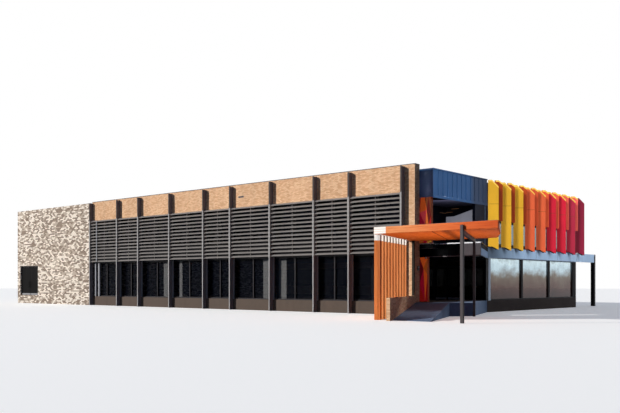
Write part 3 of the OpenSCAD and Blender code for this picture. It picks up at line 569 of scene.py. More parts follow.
PANEL_WALL = make_panel_wall_coat()
FIN = make_fin_coat()
FINISHES = [
    (TAN, "ramp_wall corner_pier front_parapet rear_walls"), (PLINTH, "main_podium"),
    (CHECKER, "pavilion_podium pavilion_front_piers pavilion_front_lintel pavilion_side_walls"),
    (PLAIN_CONCRETE, "first_floor"), (RAMP_CONCRETE, "entry_ramp"), (ROOFING, "roof_slab pavilion_roof"),
    (CHARCOAL, "front_spandrel front_frames pavilion_door_frame entry_side_walls entry_screen"),
    (CHARCOAL, "blade_rails rear_frames"), (COPING, "front_coping"), (FIN, "front_fins"),
    (POST, "front_posts"), (LOUVRE, "front_louvres"), (WINDOW_GLASS, "front_glass"),
    (DOOR, "pavilion_left_leaf pavilion_right_leaf entry_left_leaf entry_right_leaf"),
    (DOOR_GLASS, "entry_screen_glass entry_left_pane entry_right_pane"), (PANEL_WALL, "panel_walls"),
    (NAVY, "entry_awning"), (TERRACE, "terrace_walls"), (CEILING, "terrace_ceiling"),
    (BLUE_WITH_PAINTED_SHADE, "metal_box"), (DARK_BLADE_WALL, "blade_wall"), (BLACK_COAT, "wing_frames porch_posts"),
    (WING_GLASS_PAINTED_REFLECTION, "wing_glass"), (BEAM_WITH_PAINTED_SHADE, "wing_beam"), (YELLOW, "yellow_blades"),
    (ORANGE, "orange_blades"), (RED, "red_blades"), (CRIMSON, "crimson_blades"),
    (SHORT_BLADE_PAINTED_SHADE, "short_blades"), (PALE_BLUE, "rear_porch"), (TIMBER_FACE, "canopy_roof"),
    (SCREEN_TIMBER, "timber_screen"), (STEEL, "steel_portal"), (REAR_GLASS, "rear_glass"),
]
for finish, node_names in FINISHES:
    for node_name in node_names.split():
        skins = NODES[node_name].data.materials
        skins.clear()
        skins.append(finish)

# Mesh helpers. A trim reaches a little way into what it lies on, and its edges are eased.

BITE = 0.001
FINE_EDGE, EASED_EDGE, ROUND_EDGE = 0.001, 0.002, 0.003


def prism(mesh, outline, offset, skin=0):
    """A closed solid between a flat outline and its copy moved by the offset."""
    near = [mesh.verts.new(Vector(point)) for point in outline]
    far = [mesh.verts.new(Vector(point) + Vector(offset)) for point in outline]
    made = [mesh.faces.new(near[::-1]), mesh.faces.new(far)]
    for a in range(len(near)):
        b = (a + 1) % len(near)
        made.append(mesh.faces.new((near[a], near[b], far[b], far[a])))
    for face in made:
        face.material_index = skin


def block(mesh, low, high, skin=0):
    """A solid between two corners."""
    outline = [(low[0], low[1], low[2]), (high[0], low[1], low[2]),
               (high[0], high[1], low[2]), (low[0], high[1], low[2])]
    prism(mesh, outline, (0, 0, high[2] - low[2]), skin)


def add_piece(name, mesh, skins, body="building", bevel=0.0):
    """Makes a piece of the collected mesh and lets it ride on its body."""
    bmesh.ops.recalc_face_normals(mesh, faces=mesh.faces)
    if bevel:
        bmesh.ops.bevel(mesh, geom=mesh.edges[:], offset=bevel, segments=1, affect="EDGES",
                        clamp_overlap=True)
    data = bpy.data.meshes.new(name)
    mesh.to_mesh(data)
    mesh.free()
    for skin in skins:
        data.materials.append(skin)
    made = new_object(name, data)
    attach(made, body)


def collected(solids):
    """A mesh of solids, each given by two plan corners and, where it isn't 0, its finish's number."""
    mesh = bmesh.new()
    for low, high, *skin in solids:
        block(mesh, plan(*low), plan(*high), *skin)
    return mesh


def add_solids(name, solids, skins, bevel=0.0):
    add_piece(name, collected(solids), skins, bevel=bevel)


# Rows: seams, slats, ribs, caps and sills repeat one shape in even steps

ROW_INPUTS = {}


def make_row_tree():
    """A geometry tree that repeats the given shape along a line and gives it its finish."""
    tree = bpy.data.node_groups.new("repeated_row", "GeometryNodeTree")
    tree.interface.new_socket("Shape", in_out="INPUT", socket_type="NodeSocketGeometry")
    for label, kind in (("Count", "NodeSocketInt"), ("Step", "NodeSocketVector"),
                        ("Finish", "NodeSocketMaterial")):
        socket = tree.interface.new_socket(label, in_out="INPUT", socket_type=kind)
        ROW_INPUTS[label] = socket.identifier
    tree.interface.new_socket("Row", in_out="OUTPUT", socket_type="NodeSocketGeometry")
    t = Tree(tree)
    given = tree.nodes.new("NodeGroupInput").outputs
    line = t.node("GeometryNodeMeshLine", {"Count": given["Count"], "Offset": given["Step"]}, mode="OFFSET")
    placed = t.node("GeometryNodeInstanceOnPoints", {"Points": line.outputs[0], "Instance": given["Shape"]})
    real = t.node("GeometryNodeRealizeInstances", {0: placed.outputs[0]})
    dressed = t.node("GeometryNodeSetMaterial", {"Geometry": real.outputs[0], "Material": given["Finish"]})
    t.end(Row=dressed.outputs[0])
    return tree


ROW_TREE = make_row_tree()


def add_row(mesh, shape, count, step, finish, skin=0):
    """Adds a row of the collected shape, repeated in steps, to the mesh of a piece."""
    bmesh.ops.recalc_face_normals(shape, faces=shape.faces)
    data = bpy.data.meshes.new("row_shape")
    shape.to_mesh(data)
    shape.free()
    source = new_object("row_shape", data)
    row = source.modifiers.new("row", "NODES")
    row.node_group = ROW_TREE
    row[ROW_INPUTS["Count"]] = count
    row[ROW_INPUTS["Step"]] = tuple(step)
    row[ROW_INPUTS["Finish"]] = finish
    depsgraph = bpy.context.evaluated_depsgraph_get()
    made = bpy.data.meshes.new_from_object(source.evaluated_get(depsgraph))
    first = len(mesh.faces)
    mesh.from_mesh(made)
    mesh.faces.ensure_lookup_table()
    for face in mesh.faces[first:]:
        face.material_index = skin
    bpy.data.objects.remove(source)
    bpy.data.meshes.remove(made)
    bpy.data.meshes.remove(data)


def add_rows(name, shapes, count, step, finish):
    """Makes a piece of one row of each shape."""
    mesh = bmesh.new()
    for shape in shapes:
        add_row(mesh, shape, count, step, finish)
    add_piece(name, mesh, [finish])


# Metal-clad box over the terrace: seams on its side, a lip below, a front sheet in a darker navy that is
# partly painted shade, and a top flashing

SEAM_COUNT = 12
SEAM_OUT = 0.014
SEAM_HALF = 0.005
SEAM_FOOT = 0.055
BOX_LIP = 0.035
LIP_OUT, LIP_FRONT, LIP_TOP = 0.018, 0.012, 0.05
SHEET_OUT, SHEET_DROP, SHEET_BACK = 0.01, 0.012, 0.002
FLASHING_RISE, FLASHING_W = 0.012, 0.06
SIDE_FLASHING_OUT, SIDE_FLASHING_FRONT, SIDE_FLASHING_H = 0.02, 0.014, 0.03
FRONT_FLASHING_OUT, FRONT_FLASHING_H = 0.016, 0.045


def add_box_cladding():
    left, front, foot = BOX_LOW
    right, rear, top = BOX_HIGH
    step = (rear - front) / SEAM_COUNT
    y = front + step
    seam = bmesh.new()
    block(seam, (right - BITE, y - SEAM_HALF, foot + SEAM_FOOT),
          (right + SEAM_OUT, y + SEAM_HALF, top - SIDE_FLASHING_H))
    add_rows("box_seams", [seam], SEAM_COUNT - 1, (0, step, 0), BLUE_WITH_PAINTED_SHADE)
    mesh = bmesh.new()
    block(mesh, (right - BITE, front - LIP_FRONT, foot - BOX_LIP), (right + LIP_OUT, rear, foot + LIP_TOP))
    block(mesh, (left, front - SHEET_OUT, foot - SHEET_DROP),
          (right - SHEET_BACK, front + BITE, top - SIDE_FLASHING_H), 1)
    add_piece("box_edge_trim", mesh, [BLUE_WITH_PAINTED_SHADE, BOX_FRONT_PAINTED_SHADE], bevel=EASED_EDGE)
    mesh = bmesh.new()
    block(mesh, (right - FLASHING_W, front - SIDE_FLASHING_FRONT, top - SIDE_FLASHING_H),
          (right + SIDE_FLASHING_OUT, rear, top + FLASHING_RISE))
    block(mesh, (left, front - FRONT_FLASHING_OUT, top - FRONT_FLASHING_H),
          (right - FLASHING_W, front + FLASHING_W, top + FLASHING_RISE))
    add_piece("box_top_flashing", mesh, [BLUE_WITH_PAINTED_SHADE], bevel=EASED_EDGE)


# Terrace: a pale panel with a raked top on its rear wall, a painted pool of the light that comes in at the
# opening, slim strips over it, and a trim on the jamb

TERRACE_BACK_Y = 3.505
LIGHT_PATCH_T = 0.012
LIGHT_PATCH_OUTLINE = [(-1.008, 2.55), (0.385, 2.55), (0.385, 3.588), (-0.694, 3.3), (-1.008, 3.3)]
STRIP_Y = TERRACE_BACK_Y - 0.02
TERRACE_STRIPS = [
    ((-1.008, STRIP_Y, 3.44), (-0.74, TERRACE_BACK_Y - BITE, 3.458)),
    ((-1.009, 3.09, 3.41), (-0.998, STRIP_Y - BITE, 3.428)),
    ((-0.8, STRIP_Y, 3.548), (-0.5, TERRACE_BACK_Y - BITE, 3.566)),
]
JAMB_STRIP = ((0.489, 3.49, UPPER_Z), (0.496, 3.53, BOX_LOW.z - BOX_LIP))


def add_terrace_light_patch():
    mesh = bmesh.new()
    prism(mesh, [plan(x, TERRACE_BACK_Y, z) for x, z in LIGHT_PATCH_OUTLINE], (0, -LIGHT_PATCH_T, 0))
    add_piece("terrace_rear_panel", mesh, [LIGHT_PATCH_PAINT], bevel=FINE_EDGE)
    add_solids("terrace_strips", TERRACE_STRIPS, [BROWN_TRIM], bevel=FINE_EDGE)
    add_solids("jamb_corner_strip", [JAMB_STRIP], [JAMB_BLUE], bevel=FINE_EDGE)


# Coloured triangles on the two panel walls: plan x and height of the points where they meet, and each
# triangle as three of the points' letters with its tone

TRIANGLE_OUT = 0.006
TRIANGLE_GAP = 0.004
UPPER_PANELS_Y, LOWER_PANELS_Y = 0.265, 0.645
POINTS = {
    "a": (0.0, 3.63), "b": (0.05, 3.63), "c": (0.19, 3.63), "d": (0.33, 3.63), "e": (0.42, 3.63),
    "f": (0.0, 3.17), "g": (0.26, 3.23), "h": (0.42, 3.05), "i": (0.0, 2.6), "j": (0.2, 2.8),
    "k": (0.33, 2.8), "l": (0.42, 2.5), "m": (0.0, 2.22), "n": (0.14, 2.22), "o": (0.27, 2.22),
    "p": (0.42, 2.22), "q": (-0.25, 1.8), "r": (0.05, 1.8), "s": (-0.1, 1.45), "t": (0.05, 1.25),
    "u": (-0.25, 0.95), "v": (-0.25, 0.41), "w": (-0.04, 0.41), "x": (0.05, 0.41),
}
# The four triangles at the top right of the upper wall take the darkest brown and crimson tones as painted
# shade
UPPER_PANELS = [
    ("abf", "dark_crimson"), ("bcf", "orange"), ("cgf", "orange"), ("cdg", "brown"), ("deh", "brown"),
    ("dhg", "shade_crimson"), ("fgj", "pink_red"), ("fji", "crimson"), ("ghk", "shade_crimson"),
    ("gkj", "brown_orange"), ("hlk", "deep_red"), ("ijn", "orange"), ("inm", "brown_orange"),
    ("jko", "gold"), ("jon", "crimson"), ("klo", "orange"), ("lpo", "gold"),
]
LOWER_PANELS = [
    ("qrs", "orange"), ("rts", "brown_orange"), ("qsu", "dark_crimson"), ("stw", "orange"),
    ("txw", "deep_red"), ("usw", "crimson"), ("uwv", "deep_red"),
]


def add_triangle(mesh, corners, y, tone):
    """A thin panel with an even gap round it."""
    middle = (sum(p[0] for p in corners) / 3, sum(p[1] for p in corners) / 3)
    outline = []
    for x, z in corners:
        reach = math.hypot(x - middle[0], z - middle[1])
        keep = 1 - TRIANGLE_GAP / reach
        outline.append(plan(middle[0] + (x - middle[0]) * keep, y, middle[1] + (z - middle[1]) * keep))
    prism(mesh, outline, (0, -TRIANGLE_OUT, 0), PANEL_NAMES.index(tone))


def add_triangles():
    mesh = bmesh.new()
    for panels, y in ((UPPER_PANELS, UPPER_PANELS_Y), (LOWER_PANELS, LOWER_PANELS_Y)):
        for letters, tone in panels:
            add_triangle(mesh, [POINTS[letter] for letter in letters], y, tone)
    add_piece("colour_triangles", mesh, PANEL_COATS)


# Blades: a golden cap along each raked head, which stands partly for the sunlit strip at each head as a
# painted highlight, a joint round each long blade, and a black wedge under its foot, partly a bracket and
# partly painted shade

BLADE_TURN = math.radians(41)
BLADE_PITCH = 0.93
BLADE_T = 0.036
BLADE_COUNT = 9
RAKE_START = 0.12
LONG_BLADE = (0.34, 4.48, 0.225)
SHORT_BLADE = (0.26, 4.51, 0.1)
CAP_H = 0.055
CAP_PROUD = 0.003
JOINT_Z = 3.665
JOINT_H = 0.009
JOINT_PROUD = 0.001
BRACKET_SHADE = [(0.06, 2.229), (0.12, 2.229), (0.29, 2.144), (0.25, 2.12), (0.12, 2.185)]
BRACKET_SHADE_INSET = 0.004
RAIL_FACE_X = BLADE_WALL_HIGH.x + 0.015
FIRST_BLADE_Y = BLADE_WALL_LOW.y + 0.07
ALONG = Vector((math.cos(BLADE_TURN), math.sin(BLADE_TURN), 0))
ACROSS = Vector((-math.sin(BLADE_TURN), math.cos(BLADE_TURN), 0))
BLADE_STEP = (0, BLADE_PITCH, 0)


def on_blade(y, corners, proud):
    """A flat outline drawn on a blade as (distance from its root, height), set proud of its face."""
    root = Vector((RAIL_FACE_X, y, 0))
    return [root + ALONG * s - ACROSS * (BLADE_T / 2 + proud) + Vector((0, 0, z)) for s, z in corners]


def round_blade(y, corners, proud):
    """A solid round a blade, as much proud of one face as of the other."""
    mesh = bmesh.new()
    prism(mesh, on_blade(y, corners, proud), ACROSS * (BLADE_T + 2 * proud))
    return mesh


def clear_of_rail(proud):
    """Where a solid that stands proud of a blade's face comes clear of the rail."""
    return (BLADE_T / 2 + proud) * math.tan(BLADE_TURN)


def cap_shape(y, width, head, drop):
    start = clear_of_rail(CAP_PROUD)
    end = width + CAP_PROUD
    corners = [(start, head + CAP_PROUD), (RAKE_START, head + CAP_PROUD), (end, head - drop + CAP_PROUD),
               (end, head - drop - CAP_H), (RAKE_START, head - CAP_H), (start, head - CAP_H)]
    return round_blade(y, corners, CAP_PROUD)


def add_blade_trim():
    half_y = FIRST_BLADE_Y + BLADE_PITCH / 2
    caps = [cap_shape(FIRST_BLADE_Y, *LONG_BLADE), cap_shape(half_y, *SHORT_BLADE)]
    add_rows("blade_caps", caps, BLADE_COUNT - 1, BLADE_STEP, GOLD_AND_SUNLIT_HEAD)
    start, end = clear_of_rail(JOINT_PROUD), LONG_BLADE[0] + JOINT_PROUD
    corners = [(start, JOINT_Z), (end, JOINT_Z), (end, JOINT_Z + JOINT_H), (start, JOINT_Z + JOINT_H)]
    joint = round_blade(FIRST_BLADE_Y, corners, JOINT_PROUD)
    add_rows("blade_joints", [joint], BLADE_COUNT, BLADE_STEP, JOINT_BROWN)
    # A black wedge under each foot: partly a bracket, partly the shade under the raked foot painted in
    bracket_shade = round_blade(FIRST_BLADE_Y, BRACKET_SHADE, -BRACKET_SHADE_INSET)
    add_rows("foot_brackets", [bracket_shade], BLADE_COUNT, BLADE_STEP, BLACK_COAT)


# Wing: a drip strip under the beam, the beam's joints, and a pale cover on the glazing's first jamb

HEAD_STRIP_H, HEAD_STRIP_BACK, HEAD_STRIP_OUT, HEAD_STRIP_SHORT = 0.03, 0.021, 0.004, 0.01
BEAM_SPANS = 5
BEAM_JOINT_HALF, BEAM_JOINT_OUT, BEAM_JOINT_INSET = 0.003, 0.002, 0.006
JAMB_COVER = ((0.489, 3.75, FLOOR_Z), (0.495, 3.9, BEAM_LOW.z - HEAD_STRIP_H - BITE))


def add_wing_trim():
    mesh = bmesh.new()
    block(mesh, (BLADE_WALL_HIGH.x - HEAD_STRIP_BACK, BLADE_WALL_LOW.y, BEAM_LOW.z - HEAD_STRIP_H),
          (BLADE_WALL_HIGH.x + HEAD_STRIP_OUT, BLADE_WALL_HIGH.y - HEAD_STRIP_SHORT, BEAM_LOW.z))
    add_piece("wing_head_strip", mesh, [HEAD_TRIM], bevel=EASED_EDGE)
    step = (BEAM_HIGH.y - BEAM_LOW.y) / BEAM_SPANS
    y = BEAM_LOW.y + step
    joint = bmesh.new()
    block(joint, (BEAM_HIGH.x - BITE, y - BEAM_JOINT_HALF, BEAM_LOW.z + BEAM_JOINT_INSET),
          (BEAM_HIGH.x + BEAM_JOINT_OUT, y + BEAM_JOINT_HALF, BEAM_HIGH.z - BEAM_JOINT_INSET))
    add_rows("beam_joints", [joint], BEAM_SPANS - 1, (0, step, 0), CHARCOAL)
    add_solids("wing_jamb_cover", [JAMB_COVER], [JAMB_GREY], bevel=FINE_EDGE)


# Blinds behind the long front's glass, as plan x from and to, and finish, and bars beside the pavilion

BLINDS = [(-6.635, -6.075, 0), (-6.025, -5.86, 1), (-5.86, -5.485, 0), (-12.38, -11.7, 0),
          (-11.39, -11.2, 0)]
BLIND_Y = 0.134
BLIND_FOOT, BLIND_SPARE = 0.03, 0.05
SLAT_PITCH = 0.05
SLAT_SHARE = 0.86
SLAT_LEAN, SLAT_T = 0.01, 0.003
BAY_UPRIGHTS = [
    ((-16.8, -0.168, SPANDREL_FOOT_Z + 0.03), (-16.75, -0.14, 3.8)),
    ((-17.15, 0.0, FLOOR_Z), (-17.06, 0.058, SPANDREL_FOOT_Z)),
    ((-16.89, 0.0, FLOOR_Z), (-16.79, 0.058, SPANDREL_FOOT_Z)),
]


def add_blinds():
    count = int((SPANDREL_FOOT_Z - FLOOR_Z - BLIND_SPARE) / SLAT_PITCH)
    lift = Vector((0, SLAT_LEAN, SLAT_PITCH * SLAT_SHARE))
    mesh = bmesh.new()
    for x0, x1, tone in BLINDS:
        low, high = plan(x0, BLIND_Y, FLOOR_Z + BLIND_FOOT), plan(x1, BLIND_Y, FLOOR_Z + BLIND_FOOT)
        slat = bmesh.new()
        prism(slat, [low, high, high + lift, low + lift], (0, SLAT_T, 0))
        add_row(mesh, slat, count, (0, 0, SLAT_PITCH), (BLIND, DARK_BLIND)[tone], tone)
    add_piece("window_blinds", mesh, [BLIND, DARK_BLIND])


# Timber canopy: fascia boards, soffit boards along the skew, and a white painted corner

CANOPY_FRONT = -3.25
CANOPY_FALL_END = -0.95
CANOPY_FALL = 0.12
CANOPY = [(0.85, CANOPY_FRONT), (4.48, CANOPY_FRONT), (3.48, -1.21), (2.65, 0.24), (0.0, 0.24),
          (0.0, 0.0), (-0.269, 0.0)]
FASCIA_BOARDS = 3
BOARD_T = 0.012
BOARD_GAP = 0.003
WHITE_END = 1.235
SHEET_T, SHEET_GAP = 0.005, 0.0005
SOFFIT_Z = CANOPY_LOW.z - BOARD_T
SOFFIT_BOARD = 0.12
SOFFIT_CUTS = 40
SOFFIT_INSET = 0.0025
SMALLEST_BOARD = 0.002
SOFFIT_LINE = ((2.66, -3.255), (0.87, 0.56))
WHITE_TRIM_OUTLINE = [(1.03, -3.245), (1.07, -3.245), (-0.2, -0.005), (-0.24, -0.005)]
JOINT_OUTLINE = [(2.645, -3.245), (2.665, -3.245), (1.03, 0.235), (1.01, 0.235)]
JOINT_T = 0.004
WALL_POST_SOLIDS = [
    ((-0.075, -0.05, FLOOR_Z - 0.02), (-0.001, 0.001, SOFFIT_Z)),
    ((-0.095, -0.07, FLOOR_Z - 0.02), (0.019, 0.001, FLOOR_Z - 0.008)),
]


def canopy_top(y):
    """The height of the canopy's top, which falls from its front edge."""
    share = (y - CANOPY_FRONT) / (CANOPY_FALL_END - CANOPY_FRONT)
    return CANOPY_HIGH.z - CANOPY_FALL * min(max(share, 0.0), 1.0)


def at_fall_end(start, stop):
    """The point of a canopy edge where the top turns level."""
    share = (CANOPY_FALL_END - start[1]) / (stop[1] - start[1])
    return (start[0] + (stop[0] - start[0]) * share, CANOPY_FALL_END)


RIGHT_TURN = at_fall_end(CANOPY[2], CANOPY[3])
LEFT_TURN = at_fall_end(CANOPY[6], CANOPY[0])


def under_slope(z0, z1, top_a, top_b):
    """Corners, as share along and height, of a board cut off under a sloping line."""
    corners = [(0.0, z0), (1.0, z0), (1.0, z1), (0.0, z1)]
    kept = []
    for (s, z), (next_s, next_z) in zip(corners, corners[1:] + corners[:1]):
        over = z - (top_a + (top_b - top_a) * s)
        next_over = next_z - (top_a + (top_b - top_a) * next_s)
        if over <= 0:
            kept.append((s, z))
        if over * next_over < 0:
            share = over / (over - next_over)
            kept.append((s + (next_s - s) * share, z + (next_z - z) * share))
    return kept


def add_canopy_fascia():
    tall = (CANOPY_HIGH.z - CANOPY_LOW.z) / FASCIA_BOARDS
    white = (WHITE_END, CANOPY_FRONT)
    runs = [(CANOPY[0], white, 1), (white, CANOPY[1], 0), (CANOPY[1], CANOPY[2], 0),
            (CANOPY[2], RIGHT_TURN, 0), (RIGHT_TURN, CANOPY[3], 0), (CANOPY[6], LEFT_TURN, 0),
            (LEFT_TURN, CANOPY[0], 0)]
    mesh = bmesh.new()
    for start, stop, skin in runs:
        a, b = plan(*start), plan(*stop)
        outward = Vector(((b - a).y, -(b - a).x, 0)).normalized() * BOARD_T
        tops = (canopy_top(start[1]) - BOARD_GAP, canopy_top(stop[1]) - BOARD_GAP)
        for n in range(FASCIA_BOARDS):
            low = CANOPY_LOW.z + tall * n + BOARD_GAP
            corners = under_slope(low, low + tall - 2 * BOARD_GAP, *tops)
            if len(corners) > 2:
                outline = [a + (b - a) * s + Vector((0, 0, z)) for s, z in corners]
                prism(mesh, outline, outward, skin)
    add_piece("canopy_fascia", mesh, [TIMBER_FACE, WHITE_PAINT])


def add_canopy_sheet():
    """Grey sheet over the boards, sloping from the front edge and then level."""
    mesh = bmesh.new()
    for corners in ([CANOPY[0], CANOPY[1], CANOPY[2], RIGHT_TURN, LEFT_TURN],
                    [LEFT_TURN, RIGHT_TURN] + CANOPY[3:]):
        prism(mesh, [plan(x, y, canopy_top(y) + SHEET_GAP) for x, y in corners], (0, 0, SHEET_T))
    add_piece("canopy_sheet", mesh, [CANOPY_SHEET])


def add_soffit_strip(name, outline, thickness, finish, bevel=0.0):
    mesh = bmesh.new()
    prism(mesh, [plan(x, y, SOFFIT_Z) for x, y in outline], (0, 0, -thickness))
    add_piece(name, mesh, [finish], bevel=bevel)


def add_canopy_soffit():
    """Boards cut from the canopy's outline by lines along the skew, and two strips under them."""
    flat = bmesh.new()
    flat.faces.new([flat.verts.new(plan(x, y, CANOPY_LOW.z)) for x, y in CANOPY])
    start, stop = plan(*SOFFIT_LINE[0]), plan(*SOFFIT_LINE[1])
    along = (stop - start).normalized()
    across = Vector((along.y, -along.x, 0))
    for n in range(-SOFFIT_CUTS, SOFFIT_CUTS + 1):
        point = start + across * (SOFFIT_BOARD * n)
        point.z = CANOPY_LOW.z
        bmesh.ops.bisect_plane(flat, geom=flat.verts[:] + flat.edges[:] + flat.faces[:],
                               plane_co=point, plane_no=across)
    bmesh.ops.inset_individual(flat, faces=flat.faces[:], thickness=SOFFIT_INSET)
    mesh = bmesh.new()
    for face in flat.faces:
        if all(len(edge.link_faces) == 2 for edge in face.edges) and face.calc_area() > SMALLEST_BOARD:
            prism(mesh, [corner.co.copy() for corner in face.verts], (0, 0, -BOARD_T))
    flat.free()
    add_piece("canopy_soffit", mesh, [TIMBER_SOFFIT])
    add_soffit_strip("soffit_white_trim", WHITE_TRIM_OUTLINE, BOARD_T, WHITE_PAINT, FINE_EDGE)
    add_soffit_strip("soffit_joint", JOINT_OUTLINE, JOINT_T, DARK_TIMBER)


# Timber screen: boards on its face and round its battens; the battens and the end board white painted at the
# head, the boards between the battens dark brown there as painted shade

SCREEN_TURN = math.radians(SCREEN_ANGLE)
SCREEN_START = (0.85, -3.25)
SCREEN_ALONG = Vector((math.cos(SCREEN_TURN), math.sin(SCREEN_TURN), 0))
SCREEN_OUT = Vector((math.sin(SCREEN_TURN), -math.cos(SCREEN_TURN), 0))
SCREEN_T = 0.1
SCREEN_TOP = SCREEN_HEAD_Z - BITE
BATTEN_OUT = 0.05
BATTEN_W = 0.03
FIRST_BATTEN = 0.34
LAST_BATTEN = 2.7198
BATTENS = 9
BATTEN_STEP = (LAST_BATTEN - FIRST_BATTEN) / (BATTENS - 1)
BATTEN_SKIN = 0.003
BOARDS_BETWEEN = 3
BOARD_OUT = 0.006


def screen_box(mesh, low, high):
    """A solid set out along the screen, out from its rear face, and up."""
    corner = plan(*SCREEN_START)
    outline = [corner + SCREEN_ALONG * u + SCREEN_OUT * v + Vector((0, 0, low[2]))
               for u, v in ((low[0], low[1]), (high[0], low[1]), (high[0], high[1]), (low[0], high[1]))]
    prism(mesh, outline, (0, 0, high[2] - low[2]))


def add_screen_boards():
    batten = bmesh.new()
    screen_box(batten, (FIRST_BATTEN - BATTEN_SKIN, SCREEN_T + BITE, 0.0),
               (FIRST_BATTEN + BATTEN_W + BATTEN_SKIN, SCREEN_T + BATTEN_OUT + BATTEN_SKIN, SCREEN_TOP))
    bmesh.ops.bevel(batten, geom=batten.edges[:], offset=EASED_EDGE, segments=1, affect="EDGES")
    step = SCREEN_ALONG * BATTEN_STEP
    add_rows("screen_battens", [batten], BATTENS, step, BATTEN_TIMBER)
    wide = (BATTEN_STEP - BATTEN_W - 2 * BATTEN_SKIN) / BOARDS_BETWEEN
    start = FIRST_BATTEN + BATTEN_W + BATTEN_SKIN
    boards = [bmesh.new() for n in range(BOARDS_BETWEEN)]
    for n, board in enumerate(boards):
        screen_box(board, (start + wide * n + BOARD_GAP, SCREEN_T - BITE, 0.0),
                   (start + wide * (n + 1) - BOARD_GAP, SCREEN_T + BOARD_OUT, SCREEN_TOP))
    add_rows("screen_boards", boards, BATTENS - 1, step, BOARD_TIMBER_SHADED_HEAD)
    mesh = bmesh.new()
    screen_box(mesh, (-BOARD_OUT, BITE, 0.0), (BITE, SCREEN_T - BITE, SCREEN_TOP))
    add_piece("screen_end_board", mesh, [END_TIMBER], bevel=FINE_EDGE)


# Awning: cladding, flashings and lights

AWNING_FRONT = 0.645
AWNING_FOOT = UPPER_Z - 0.4
AWNING_CORNER = (1.905, AWNING_FRONT)
AWNING_REAR = (0.49, 3.695)
GREY_FROM = 1.337
WHITE_FROM = 1.25
END_PANELS = [(AWNING_FOOT + 0.02, AWNING_FOOT + 0.235, 0), (AWNING_FOOT + 0.241, UPPER_Z - 0.03, 1)]
END_PANEL_T = 0.01
END_FLASHING = (UPPER_Z - 0.025, UPPER_Z + 0.012, 1)
END_FLASHING_T = 0.016
FLOOR_EDGE = [
    ((0.004, 0.257, UPPER_Z - 0.149), (0.49, 0.266, UPPER_Z - 0.02)),
    ((0.489, 0.257, UPPER_Z - 0.149), (0.5, 0.64, UPPER_Z - 0.02)),
]
GREY_PANEL = ((GREY_FROM, AWNING_FRONT - 0.005, AWNING_FOOT + 0.02),
              (AWNING_CORNER[0] - 0.006, AWNING_FRONT + 0.001, UPPER_Z - 0.026))
FRONT_FLASHINGS = [
    ((0.502, AWNING_FRONT - 0.01, UPPER_Z - 0.02), (WHITE_FROM, AWNING_FRONT + 0.06, UPPER_Z + 0.01)),
    ((WHITE_FROM, AWNING_FRONT - 0.014, UPPER_Z - 0.025),
     (AWNING_CORNER[0], AWNING_FRONT + 0.06, UPPER_Z + 0.012)),
]
WALL_FLASHING = ((0.004, 0.251, UPPER_Z - 0.02), (0.504, 0.262, UPPER_Z + 0.012))
DRIP = ((0.05, AWNING_FRONT - 0.008, AWNING_FOOT - 0.008),
        (AWNING_CORNER[0], AWNING_FRONT + 0.02, AWNING_FOOT + 0.015))
LIGHTS = [
    ((-0.03, AWNING_FRONT - 0.035, AWNING_FOOT - 0.055), (0.03, AWNING_FRONT - 0.001, AWNING_FOOT)),
    ((1.7, AWNING_FRONT + 0.02, AWNING_FOOT - 0.012), (1.78, AWNING_FRONT + 0.1, AWNING_FOOT + 0.001)),
]
LIGHT_EDGE = 0.004


def along_end(mesh, level, thickness):
    """A sheet along the awning's slanting end, between two heights."""
    z0, z1, skin = level
    corner, rear = plan(*AWNING_CORNER), plan(*AWNING_REAR)
    outward = Vector(((rear - corner).y, -(rear - corner).x, 0)).normalized()
    low, high = Vector((0, 0, z0)), Vector((0, 0, z1))
    prism(mesh, [corner + low, rear + low, rear + high, corner + high], outward * thickness, skin)


def add_awning_trim():
    add_solids("floor_edge_cladding", FLOOR_EDGE, [NAVY], bevel=FINE_EDGE)
    add_solids("awning_grey_panel", [GREY_PANEL], [AWNING_GREY], bevel=FINE_EDGE)
    mesh = bmesh.new()
    for level in END_PANELS:
        along_end(mesh, level, END_PANEL_T)
    add_piece("awning_end_panel", mesh, [AWNING_END, AWNING_SHADE], bevel=FINE_EDGE)
    mesh = collected(FRONT_FLASHINGS)
    along_end(mesh, END_FLASHING, END_FLASHING_T)
    block(mesh, plan(*WALL_FLASHING[0]), plan(*WALL_FLASHING[1]))
    add_piece("awning_flashing", mesh, [WHITE_TRIM, NAVY], bevel=FINE_EDGE)
    add_solids("awning_drip", [DRIP], [GREY_TRIM], bevel=FINE_EDGE)
    add_solids("awning_lights", LIGHTS, [LAMP], bevel=LIGHT_EDGE)


# Small fittings on the brickwork: a call panel by the entry, and an overflow slot with its frame

CALL_PANEL = [
    ((-0.001, 0.13, 1.37), (0.024, 0.235, 1.51)),
    ((0.024, 0.142, 1.45), (0.027, 0.223, 1.498), 1),
]
OVERFLOW_SLOT = [
    ((-7.79, -0.008, 4.16), (-7.51, 0.001, 4.17)),
    ((-7.79, -0.008, 4.21), (-7.51, 0.001, 4.22)),
    ((-7.79, -0.008, 4.17), (-7.775, 0.001, 4.21)),
    ((-7.525, -0.008, 4.17), (-7.51, 0.001, 4.21)),
    ((-7.775, -0.002, 4.17), (-7.525, 0.001, 4.21), 1),
]


def add_fittings():
    add_solids("call_panel", CALL_PANEL, [BLACK_COAT, GREY_TRIM], bevel=EASED_EDGE)
    add_solids("overflow_slot", OVERFLOW_SLOT, [GREY_TRIM, CHARCOAL])


# Kick plates on the leaves' front faces, which lie behind the pull handles

LEAVES = ("entry_left", "entry_right", "pavilion_left", "pavilion_right")
LEAF_T = 0.03
KICK_FOOT, KICK_HEAD = 0.012, 0.085
KICK_SIDE = 0.02
KICK_OUT, KICK_BACK = 0.0015, 0.0005
KICK_EDGE = 0.0005


